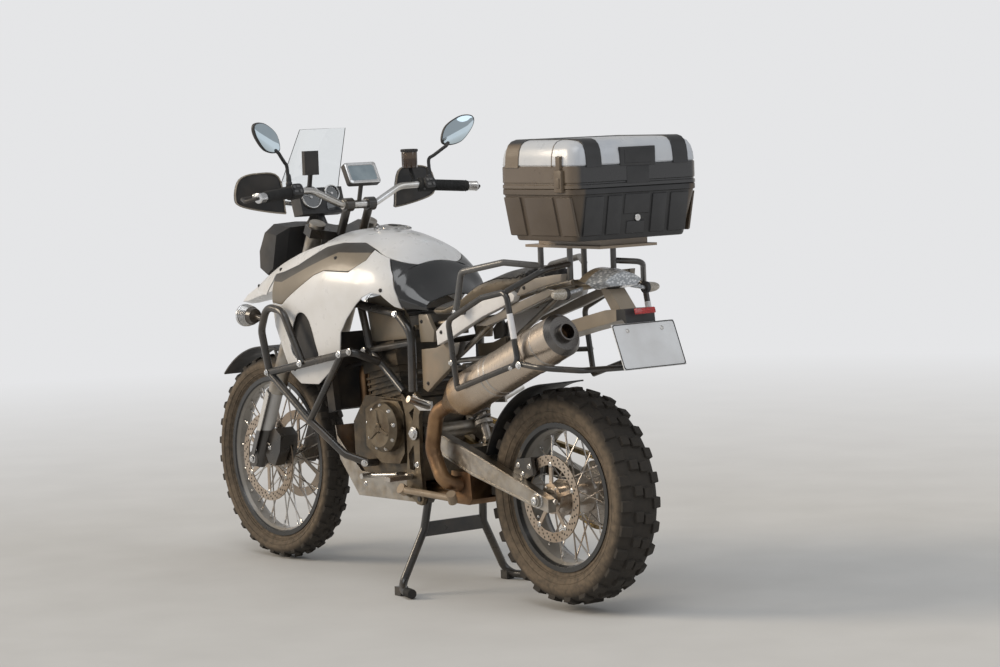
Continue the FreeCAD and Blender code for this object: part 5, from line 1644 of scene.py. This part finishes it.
def strap(bm, line, middle, half, lift, over_sides):
    """A band over the lid. line is the lid's outline; it runs over the sides or rear to front."""
    ends = ((-CASE_HALF, CASE_HALF) if over_sides else (CASE_REAR, CASE_FRONT))
    path = [(ends[0] + d, z) for d, z in line] + [(ends[1] - d, z) for d, z in reversed(line)]
    rings = []
    for k, (p, z) in enumerate(path):
        before = path[max(k - 1, 0)]
        after = path[min(k + 1, len(path) - 1)]
        way = Vector((after[0] - before[0], after[1] - before[1])).normalized()
        out = Vector((-way.y, way.x))
        ring = []
        for shift, high in ((-half, -3), (-half, lift - 0.8), (-half + 1.2, lift),
                            (half - 1.2, lift), (half, lift - 0.8), (half, -3)):
            a, b = p + out.x * high, z + out.y * high
            ring.append(at(middle + shift, a, b) if over_sides else at(a, middle + shift, b))
        rings.append(ring)
    skin_rings(bm, rings)


def build_tub():
    """The tub: a hollow shell on its rings, the ribs of its four faces, and the lock."""
    bm = bmesh.new()
    rings = [(CASE_FLOOR, 34, 38, 22), (CASE_FLOOR + 1.5, 29, 33, 28),
             (CASE_FLOOR + 7, 25.5, 29.5, 32), (CASE_SEAM - 18, 2.5, 2.5, 36),
             (CASE_SEAM - 16, -1.5, -1.5, 38), (CASE_SEAM - 2, -1.5, -1.5, 38),
             (CASE_SEAM - 0.4, 0, 0, 37), (CASE_SEAM - 0.4, 3.5, 3.5, 34),
             (CASE_FLOOR + 10, 28.5, 32.5, 26)]
    skin_rings(bm, [case_ring(*ring) for ring in rings])
    for side in (1, -1):
        out = Vector((0, side, 0.17)).normalized()
        for x0, x1 in ((-318, -252), (-236, -104), (-84, -8)):
            pad(bm, [at(x, side * (CASE_HALF - tub_draw(z)[1]), z)
                     for x, z in oblong(x0, x1, 1150, 1264)], out, 0.0042)
    rear_out = Vector((-1, 0, 0.15)).normalized()
    for y0, y1, z0, z1, depth in ((-196, -128, 1150, 1264, 0.0038), (-112, -58, 1150, 1264, 0.0038),
                                  (58, 112, 1150, 1264, 0.0038), (128, 196, 1150, 1264, 0.0038),
                                  (-48, 48, 1208, 1266, 0.003), (-34, 34, 1150, 1186, 0.003)):
        pad(bm, [at(CASE_REAR + tub_draw(z)[0], y, z) for y, z in oblong(y0, y1, z0, z1)],
            rear_out, depth)
    front_out = Vector((1, 0, 0.15)).normalized()
    for middle in range(-176, 177, 44):
        pad(bm, [at(CASE_FRONT - tub_draw(z)[0], y, z)
                 for y, z in oblong(middle - 14, middle + 14, 1150, 1262)], front_out, 0.0036)
    piece("tub_shell", bm, "case_black", instead=("case_tub",), sharp=32)
    lock = bmesh.new()
    place = at(CASE_REAR + tub_draw(1196)[0] - 1, -6, 1196)
    turned(lock, place, REARWARD, [(0.0105, -0.004), (0.0105, 0.0022), (0.0095, 0.0034),
                                   (0.0035, 0.0034), (0.003, 0.0022), (0.0, 0.0022)], 28)
    piece("case_lock", lock, "steel", material=SILVER)


def build_lid():
    """The lid: a hollow shell on its rings, its straps and plates, and the hinge's barrels."""
    bm = bmesh.new()
    rings = [(1425, 52, 52, 30), (1413, 22, 22, 34), (1396, 9, 9, 36), (1360, 4.5, 4.5, 35),
             (CASE_SEAM + 0.4, 3.5, 3.5, 34), (CASE_SEAM + 0.4, 0, 0, 37),
             (CASE_SEAM + 2, -2, -2, 38), (CASE_SEAM + 11, -2, -2, 38),
             (CASE_SEAM + 13, 1, 1, 36), (CASE_SEAM + 17, 1, 1, 36),
             (CASE_SEAM + 19, -1.5, -1.5, 38), (RIM_TOP - 2, -1.5, -1.5, 38),
             (RIM_TOP, 1.5, 1.5, 36), (RIM_TOP + 2.5, 1.5, 1.5, 36)]
    rings += [(z, d, d, 38 + d * 0.4) for d, z in LID_LINE]
    rings.append((1431.0, 90, 90, 30))
    skin_rings(bm, [case_ring(*ring) for ring in rings])
    piece("lid_shell", bm, "case_silver", "case_lid", ("case_lid",), 32)
    bands = bmesh.new()
    line = [(-2, RIM_TOP - 4)] + LID_LINE
    for middle, half, lift, over_sides in ((166, 29, 2.6, False), (-166, 29, 2.6, False),
                                           (-54, 31, 2.4, True), (-238, 2.2, 0.8, True)):
        strap(bands, line, middle, half, lift, over_sides)
    for half, z0, z1, depth in ((68, RIM_TOP - 6, 1404, 0.0035), (52, RIM_TOP + 2, 1396, 0.0052),
                                (44, 1296, 1348, 0.003)):
        pad(bands, [at(CASE_REAR, y, z) for y, z in oblong(-half, half, z0, z1)], REARWARD, depth)
    latch_x = -276
    for side in (1, -1):
        for half, z0, z1, depth in ((17, 1278, 1344, 0.011), (10, 1340, 1384, 0.009),
                                    (10, 1290, 1322, 0.0135)):
            pad(bands, [at(x, side * CASE_HALF, z)
                        for x, z in oblong(latch_x - half, latch_x + half, z0, z1)],
                Vector((0, side, 0)), depth, 0.002)
    # The straps' sides carry a painted tan sheen on black plastic.
    sunlit_band_plastic = split_paint("sunlit_band_plastic", sides_from(0.222, 0.232), DEEP_BLACK, LIT_BLACK,
                               0.42, 0.1)
    piece("lid_bands", bands, "case_black", "case_lid", sharp=32, material=sunlit_band_plastic)
    hinges = bmesh.new()
    for y in (-140, 0, 140):
        turned(hinges, at(CASE_FRONT, y - 28, CASE_SEAM), Vector((0, 1, 0)),
               [(0.0035, 0), (0.006, 0.0008), (0.006, 0.0552), (0.0035, 0.056)], 24)
    piece("hinge_barrels", hinges, "black_plastic")


build_tub()
build_lid()


# Racks, lamps, plate and the fastenings.
def build_rack_details():
    """Pale strips on the racks' uprights, and the bolts of their tubes."""
    rack_y = 268
    strips = bmesh.new()
    fastenings = bmesh.new()
    for side in (1, -1):
        low = at(-88, rack_y * side, 776)
        high = at(-40, rack_y * side, 986)
        start, end = low.lerp(high, 0.34), low.lerp(high, 0.69)
        length = (end - start).length
        turned(strips, start, high - low, [(0.0092, 0), (0.0097, 0.0004), (0.0097, length),
                                           (0.0092, length + 0.0004)], 24)
        out = Vector((0, side, 0))
        bolt(fastenings, at(-104, (rack_y + 12) * side, 772), out, 0.0085)
        bolt(fastenings, at(-58, (rack_y + 7) * side, 762), out, 0.006, six=False)
        bolt(fastenings, at(232, (rack_y + 9) * side, 762), out, 0.0065)
    piece("rack_strips", strips, "plate_white", material=PALE_STRIPE)
    piece("rack_bolts", fastenings, "steel", material=SILVER)


def build_plate_details():
    """The blank plate's thin dark frame and its two screws."""
    top = at(-342, 0, 889)
    bottom = at(-397, 0, 759)
    up = (top - bottom).normalized()
    out = Vector((-up.z, 0, up.x))
    right = Vector((0, -1, 0))
    centre = (top + bottom) / 2
    width = 237
    height = (bottom - top).length * 1000
    outer = rounded(width, height - 2, 8, 5)
    rings = []
    for inset, far in ((0.0, -0.001), (0.0, 0.0012), (2.2, 0.0016), (2.8, 0.0003)):
        narrow, short = 1 - 2 * inset / width, 1 - 2 * inset / height
        rings.append([centre + right * (a * narrow / 1000) + up * (b * short / 1000) + out * far
                      for a, b in outer])
    frame_ring = bmesh.new()
    skin_rings(frame_ring, rings, caps=False)
    piece("plate_frame", frame_ring, "black_plastic", sharp=60)
    screws = bmesh.new()
    for side in (-1, 1):
        bolt(screws, centre + right * 0.066 * side + up * 0.048, out, 0.005, 0.0024, six=False)
    piece("plate_screws", screws, "steel", material=SILVER)


def build_rear_lights():
    """A red reflector above the plate, and the indicators' rims and glasses."""
    red = bmesh.new()
    low, high = at(-356, 0, 912), at(-350, 0, 934)
    panel(red, (low + high) / 2, Vector((0, -1, 0)), (high - low).normalized(),
          rounded(78, 18, 3), 0.0035, 0.0012)
    red_glass = lens("red_reflector", (0.5, 0.012, 0.01), 0.12,
                     ((0.62, 0.02, 0.012), (0.3, 0.006, 0.006)), chequer_share(240.0),
                     chequered(240.0), 0.001, 0.6)
    piece("red_reflector", red, "lamp_clear", material=red_glass)
    rims = bmesh.new()
    glass = bmesh.new()
    for side in (1, -1):
        foot = at(-180, 150 * side, 976)
        way = Vector((0, side, 0))
        turned(rims, foot, way, [(0.0172, -0.001), (0.0182, 0.002), (0.0182, 0.009),
                                 (0.0168, 0.012)], 36)
        turned(glass, foot, way, [(0.0165, 0.01), (0.0158, 0.024), (0.0138, 0.04),
                                  (0.0105, 0.05), (0.0075, 0.0545), (0.0, 0.0555)], 36)
    piece("indicator_rims", rims, "black_plastic")
    smoked = lens("indicator_glass", (0.5, 0.46, 0.4), 0.1,
                  ((0.56, 0.52, 0.46), (0.34, 0.3, 0.24)), chequer_share(260.0),
                  chequered(260.0), 0.001, 0.4)
    piece("indicator_glass", glass, "lamp_clear", material=smoked)


def build_front_lights():
    """The headlight's two lenses and bezels, and the auxiliary lamps' rims, bowls and glasses."""
    rims = bmesh.new()
    glass = bmesh.new()
    bowls = bmesh.new()
    radius = 0.038
    forward = Vector((1, 0, 0))
    for side in (1, -1):
        place, normal = on_node("headlight", at(1620, 54 * side, 1064), -forward)
        if place is not None:
            way = (normal + forward * 1.5).normalized()
            seat = place - way * 0.006
            turned(rims, seat, way, [(radius + 0.006, 0.0), (radius + 0.006, 0.009),
                                     (radius + 0.003, 0.012), (radius, 0.011),
                                     (radius - 0.002, 0.004)], 48, caps=False)
            turned(bowls, seat, way, [(radius, 0.009), (radius * 0.8, 0.007),
                                      (radius * 0.5, 0.0064), (0.0, 0.0062)], 48)
            turned(glass, place - way * 0.002, way,
                   [(radius * 0.52, 0.002), (radius * 0.5, 0.008), (radius * 0.34, 0.012),
                    (0.0, 0.0135)], 40)
        front = at(1382, 262 * side, 862)
        turned(rims, front, forward, [(0.0355, -0.006), (0.0372, -0.004), (0.0372, 0.003),
                                      (0.035, 0.0045), (0.0325, 0.0035), (0.0315, 0.0005)], 44,
               caps=False)
        turned(bowls, front, forward, [(0.0322, 0.0004), (0.02, 0.0012), (0.0, 0.0016)], 44)
        turned(glass, front, forward, [(0.0318, 0.0022), (0.024, 0.0042), (0.0, 0.0052)], 44)
        for k in range(5):
            narrow = k * 0.0012
            turned(rims, front - forward * (0.014 + k * 0.006), forward,
                   [(0.0352 - narrow, -0.0016), (0.0366 - narrow, 0.0),
                    (0.0352 - narrow, 0.0016)], 40)
    piece("lamp_bezels", rims, "aluminium", material=SILVER)
    piece("lamp_bowls", bowls, "aluminium",
          material=brushed("lamp_mirror", (0.8, 0.8, 0.8), (0.6, 0.6, 0.62), 0.1))
    piece("lamp_glasses", glass, "lamp_clear",
          material=clear("lamp_glass", (0.86, 0.88, 0.9), 0.05, 0.8, chequered(160.0),
                         0.0008, 0.25))


def build_shock():
    """The rear spring: a wound coil between its two collars, with the damper rod and eyes."""
    low = at(420, 0, 492)
    top = at(510, 0, 712)
    way = (top - low).normalized()
    length = (top - low).length
    across, up = square_to(way)
    coil = bmesh.new()
    points = []
    turns = 6.5
    count = int(turns * 20)
    for k in range(count + 1):
        share = k / count
        angle = 2 * math.pi * turns * share
        along = length * (0.27 + 0.51 * share)
        points.append(low + way * along
                      + (across * math.cos(angle) + up * math.sin(angle)) * 0.0252)
    sweep(coil, points, 0.0047, 10)
    piece("spring_coil", coil, "black_plastic", instead=("shock",),
          material=coated("spring_paint", (0.05, 0.05, 0.052), (0.12, 0.1, 0.08), 0.35, 0.3))
    damper = bmesh.new()
    turned(damper, low, way, [(0.013, -0.006), (0.013, length * 0.2), (0.0295, length * 0.2),
                              (0.0295, length * 0.25), (0.016, length * 0.26),
                              (0.016, length * 0.8), (0.0295, length * 0.8),
                              (0.0295, length * 0.845), (0.018, length * 0.86),
                              (0.014, length + 0.004)], 32)
    for eye in (at(420, 0, 489.2), at(513, 0, 715.2)):
        turned(damper, eye - Vector((0, 0.0155, 0)), Vector((0, 1, 0)),
               [(0.0063, 0), (0.0105, 0.001), (0.0105, 0.03), (0.0063, 0.031)], 28)
    piece("damper", damper, "aluminium")


def build_hand_levers():
    """Rounded ends on the two levers."""
    bm = bmesh.new()
    for side in (1, -1):
        tip = flipped(bar_at(398) + Vector((0.066, 0, 0.002)), side)
        way = (tip - flipped(bar_at(300) + Vector((0.04, 0, 0.006)), side)).normalized()
        turned(bm, tip, way, [(0.0062, -0.006), (0.0085, -0.002), (0.0092, 0.002),
                              (0.0085, 0.006), (0.0055, 0.009), (0.0, 0.0102)], 20)
    piece("lever_ends", bm, "aluminium", "steering", material=SILVER)


def aimed(node, sides, spots, radius, six):
    """Bolt rows aimed inwards at (x, z) spots, on a node or on the piece of each side."""
    return [(node.format(end), at(x, 400 * side, z), Vector((0, -side, 0)), radius, six)
            for side, end in sides for x, z in spots]


def round_spots(x, z, radius, count=9, start=10):
    """Spots spaced evenly round an (x, z) centre."""
    turns = [math.radians(start + 360 * k / count) for k in range(count)]
    return [(x + radius * math.cos(turn), z + radius * math.sin(turn)) for turn in turns]


def build_screws():
    """Fastenings on the panels, engine, bars and calipers."""
    left, right = SIDES[:1], SIDES[1:]
    panels = []
    for name, spots in (("wing_{}", ((696, 962), (940, 740), (1160, 690))),
                        ("body_band_{}", ((930, 1060),)), ("shell_arm_{}", ((1240, 1015),)),
                        ("upper_cover_{}", ((588, 862),)), ("lower_cover_{}", ((560, 668),)),
                        ("tail_stripe_{}", ((452, 836),)), ("tail_side_{}", ((30, 988),))):
        panels += aimed(name, SIDES, spots, 0.0048, False)
    panels += aimed("beak", SIDES, ((1600, 940), (1460, 975)), 0.0045, False)
    add_bolts("panel_screws", panels, "black_plastic")
    bare = []
    for name, sides, spots, radius, six in (
            ("crash_bars", SIDES, ((1066, 716), (862, 755), (806, 766), (1264, 676), (862, 396)),
             0.0085, True),
            ("pivot_plates", SIDES, ((622, 700), (628, 560), (606, 408)), 0.0075, True),
            ("frame", SIDES, ((690, 884), (846, 762), (660, 812)), 0.008, True),
            ("luggage_carrier", SIDES, ((326, 905),), 0.008, False),
            ("foot_controls", SIDES, ((560, 602), (600, 612)), 0.0065, True),
            ("skid_plate", SIDES, ((700, 320), (920, 320), (1030, 410)), 0.0065, False),
            ("engine", left, ((640, 432), (664, 592)), 0.007, True),
            ("engine_covers", left, round_spots(752, 520, 72), 0.0048, True),
            ("engine_covers", right, round_spots(782, 480, 84), 0.0052, True),
            ("rear_caliper", left, ((78, 440), (132, 440), (112, 414)), 0.0065, False)):
        bare += aimed(name, sides, spots, radius, six)
    add_bolts("bare_bolts", bare, "steel", material=SILVER)
    forks = aimed("front_calipers", SIDES, ((1478, 470), (1500, 430), (1496, 395)), 0.006, False)
    forks += aimed("fork_sliders", SIDES, ((1578, 352),), 0.011, True)
    forks += aimed("fork_clamps", SIDES, ((1392, 1000), (1420, 1000)), 0.005, False)
    add_bolts("fork_bolts", forks, "steel", "steering", material=SILVER)


def build_arm_rims():
    """Raised rims along the upper and lower edges of the swingarm's outer faces."""
    bm = bmesh.new()
    stations = [(20, 141, 23), (40, 142, 26), (330, 138, 37), (545, 124, 30)]
    for side in (1, -1):
        for edge in (1, -1):
            rings = []
            for x, y, half in stations:
                z = 347 + x * 161 / 612 + edge * (half - 4.5)
                rings.append([at(x, (y + dy) * side, z + dz)
                              for dy, dz in ((-1, -3.5), (1.8, -2.7), (1.8, 2.7), (-1, 3.5))])
            skin_rings(bm, rings)
    piece("arm_rims", bm, "aluminium")


def build_engine_star():
    """The three ribs and the hub on the round cover."""
    bm = bmesh.new()
    middle = at(752, 184.5, 520)
    out = Vector((0, 1, 0))
    turned(bm, middle, out, [(0.016, -0.002), (0.016, 0.005), (0.0135, 0.0072), (0.006, 0.0072),
                             (0.005, 0.0055)], 36)
    for turn in (80, 200, 320):
        way = Vector((math.cos(math.radians(turn)), 0, math.sin(math.radians(turn))))
        across = way.cross(out)
        rings = []
        for far, half, lift in ((0.008, 0.0075, 0.006), (0.03, 0.0062, 0.0058),
                                (0.054, 0.005, 0.005), (0.0585, 0.0042, 0.0005)):
            line = [(-half - 0.0015, -0.003), (-half, lift - 0.001), (-half + 0.001, lift),
                    (half - 0.001, lift), (half, lift - 0.001), (half + 0.0015, -0.003)]
            rings.append([middle + way * far + across * a + out * b for a, b in line])
        skin_rings(bm, rings)
    piece("cover_star", bm, "engine_grey", material=SUNLIT_CASTING)


def build_muffler_fittings():
    """Thin bands on the muffler's shell."""
    bm = bmesh.new()
    for share in (0.34, 0.39, 0.86):
        centre = MUFFLER_FRONT + MUFFLER_WAY * MUFFLER_LENGTH * share
        place, _ = on_node("muffler", centre + Vector((0, 0.3, 0)), Vector((0, -1, 0)))
        radius = (place - centre).length if place is not None else 0.06
        turned(bm, centre, MUFFLER_WAY, [(radius - 0.002, -0.0035), (radius + 0.0012, -0.0028),
                                         (radius + 0.0016, 0), (radius + 0.0012, 0.0028),
                                         (radius - 0.002, 0.0035)], 56, caps=False)
    piece("muffler_bands", bm, "steel")


def build_stand_caps():
    """Ribbed rubber over the end of the centre stand's left runner."""
    bm = bmesh.new()
    end = at(526, 240, 17)
    way = (end - at(622, 214, 17)).normalized()
    profile = [(0.0136, -0.042), (0.0152, -0.041), (0.0152, -0.036)]
    for k in range(5):
        start = -0.034 + k * 0.0065
        profile += [(0.0142, start), (0.0154, start + 0.0015), (0.0154, start + 0.0045),
                    (0.0142, start + 0.006)]
    profile += [(0.0154, 0.0005), (0.0148, 0.003), (0.0, 0.0032)]
    turned(bm, end, way, profile, 28)
    piece("runner_cap", bm, "rubber", "centre_stand")


def build_rear_fittings():
    """Nuts, washers and adjusters at the rear axle, and the swingarm's pivot bolts."""
    bm = bmesh.new()
    for side in (1, -1):
        place = at(0, 142 * side, 347)
        out = Vector((0, side, 0))
        turned(bm, place, out, [(0.0235, 0.0), (0.0235, 0.002), (0.0225, 0.0032)], 36)
        turned(bm, place + out * 0.013, out, [(0.0118, 0.0), (0.0118, 0.0035), (0.0095, 0.0045),
                                              (0.005, 0.0045), (0.0045, 0.002)], 28)
        screw = at(-62, 126 * side, 347)
        turned(bm, screw, REARWARD, [(0.0085, 0.0), (0.0085, 0.006), (0.0075, 0.007)], 6)
        pivot = at(612, 150 * side, 508)
        bolt(bm, pivot, out, 0.0155, 0.009)
    piece("axle_fittings", bm, "steel", material=SILVER)


build_rack_details()
build_plate_details()
build_rear_lights()
build_front_lights()
build_shock()
build_hand_levers()
build_screws()
build_arm_rims()
build_engine_star()
build_muffler_fittings()
build_stand_caps()
build_rear_fittings()


# Stage: floor, soft lights, pale surroundings and the camera.
BACKGROUND = (0.98, 0.985, 1.0)
BACKGROUND_LEVEL = 0.8


def build_floor():
    """A wide pale floor that fades into the surroundings with distance."""
    size = 300.0
    mesh = bpy.data.meshes.new("floor")
    corners = [(-size, -size), (size, -size), (size, size), (-size, size)]
    mesh.from_pydata([(x, y, -0.001) for x, y in corners], [], [(0, 1, 2, 3)])
    floor = bpy.data.objects.new("floor", mesh)
    bpy.context.scene.collection.objects.link(floor)
    s = Shader("pale_floor", (0.78, 0.77, 0.75), 0.7)
    x, y = s.axis("X"), s.axis("Y")
    away = s.math("SQRT", s.math("ADD", s.math("MULTIPLY", x, x), s.math("MULTIPLY", y, y)))
    far = s.ramp(away, 2.0, 8.0)
    mottled = s.mix(s.ramp(s.noise(3.0, 8.0), 0.3, 0.7), (0.62, 0.615, 0.6), (0.58, 0.575, 0.56))
    s.colour(s.mix(far, mottled, (0.0, 0.0, 0.0)))
    s.set("Specular IOR Level", 0.0)
    s.set("Emission Color", (*BACKGROUND, 1.0))
    s.feed(s.math("MULTIPLY", far, BACKGROUND_LEVEL), s.shader.inputs["Emission Strength"])
    mesh.materials.append(s.material)


def build_sun(name, way, power, colour, angle):
    """A soft distant lamp. way points from the object to the lamp."""
    data = bpy.data.lights.new(name, "SUN")
    data.energy = power
    data.color = colour
    data.angle = math.radians(angle)
    lamp = bpy.data.objects.new(name, data)
    lamp.rotation_euler = Vector(way).to_track_quat("Z", "Y").to_euler()
    bpy.context.scene.collection.objects.link(lamp)


def build_world():
    """Pale surroundings, brighter where the camera sees them than where they light the object."""
    world = bpy.data.worlds.new("surroundings")
    bpy.context.scene.world = world
    world.use_nodes = True
    tree = world.node_tree
    back = tree.nodes["Background"]
    path = tree.nodes.new("ShaderNodeLightPath")
    seen = tree.nodes.new("ShaderNodeMath")
    seen.operation = "MAXIMUM"
    tree.links.new(path.outputs["Is Camera Ray"], seen.inputs[0])
    tree.links.new(path.outputs["Is Transmission Ray"], seen.inputs[1])
    level = tree.nodes.new("ShaderNodeMapRange")
    level.inputs["To Min"].default_value = 0.4
    level.inputs["To Max"].default_value = BACKGROUND_LEVEL
    tree.links.new(seen.outputs["Value"], level.inputs["Value"])
    tree.links.new(level.outputs["Result"], back.inputs["Strength"])
    back.inputs["Color"].default_value = (*BACKGROUND, 1.0)


def build_camera():
    """The photograph's camera, looking along its azimuth, tilt and roll."""
    turn = math.radians(CAMERA_AZIMUTH)
    down = math.radians(CAMERA_DOWN)
    roll = math.radians(CAMERA_ROLL)
    ahead = Vector((math.sin(turn) * math.cos(down), -math.cos(turn) * math.cos(down),
                    -math.sin(down)))
    right = ahead.cross(Vector((0, 0, 1))).normalized()
    up = right.cross(ahead)
    right_rolled = right * math.cos(roll) + up * math.sin(roll)
    up_rolled = up * math.cos(roll) - right * math.sin(roll)
    facing = Matrix((right_rolled, up_rolled, -ahead)).transposed()
    data = bpy.data.cameras.new("camera")
    data.lens = CAMERA_LENS
    data.sensor_width = CAMERA_SENSOR
    camera = bpy.data.objects.new("camera", data)
    camera.matrix_world = Matrix.Translation(CAMERA_PLACE) @ facing.to_4x4()
    bpy.context.scene.collection.objects.link(camera)
    bpy.context.scene.camera = camera


build_floor()
build_sun("low_warm", (0.62, 0.72, 0.4), 1.9, (1.0, 0.86, 0.68), 26)
build_sun("high_soft", (-0.35, 0.3, 0.9), 0.75, (0.96, 0.98, 1.0), 40)
build_sun("rear_soft", (-0.8, -0.3, 0.5), 0.35, (0.9, 0.95, 1.0), 40)
build_world()
build_camera()
bpy.context.scene.view_settings.view_transform = "Standard"
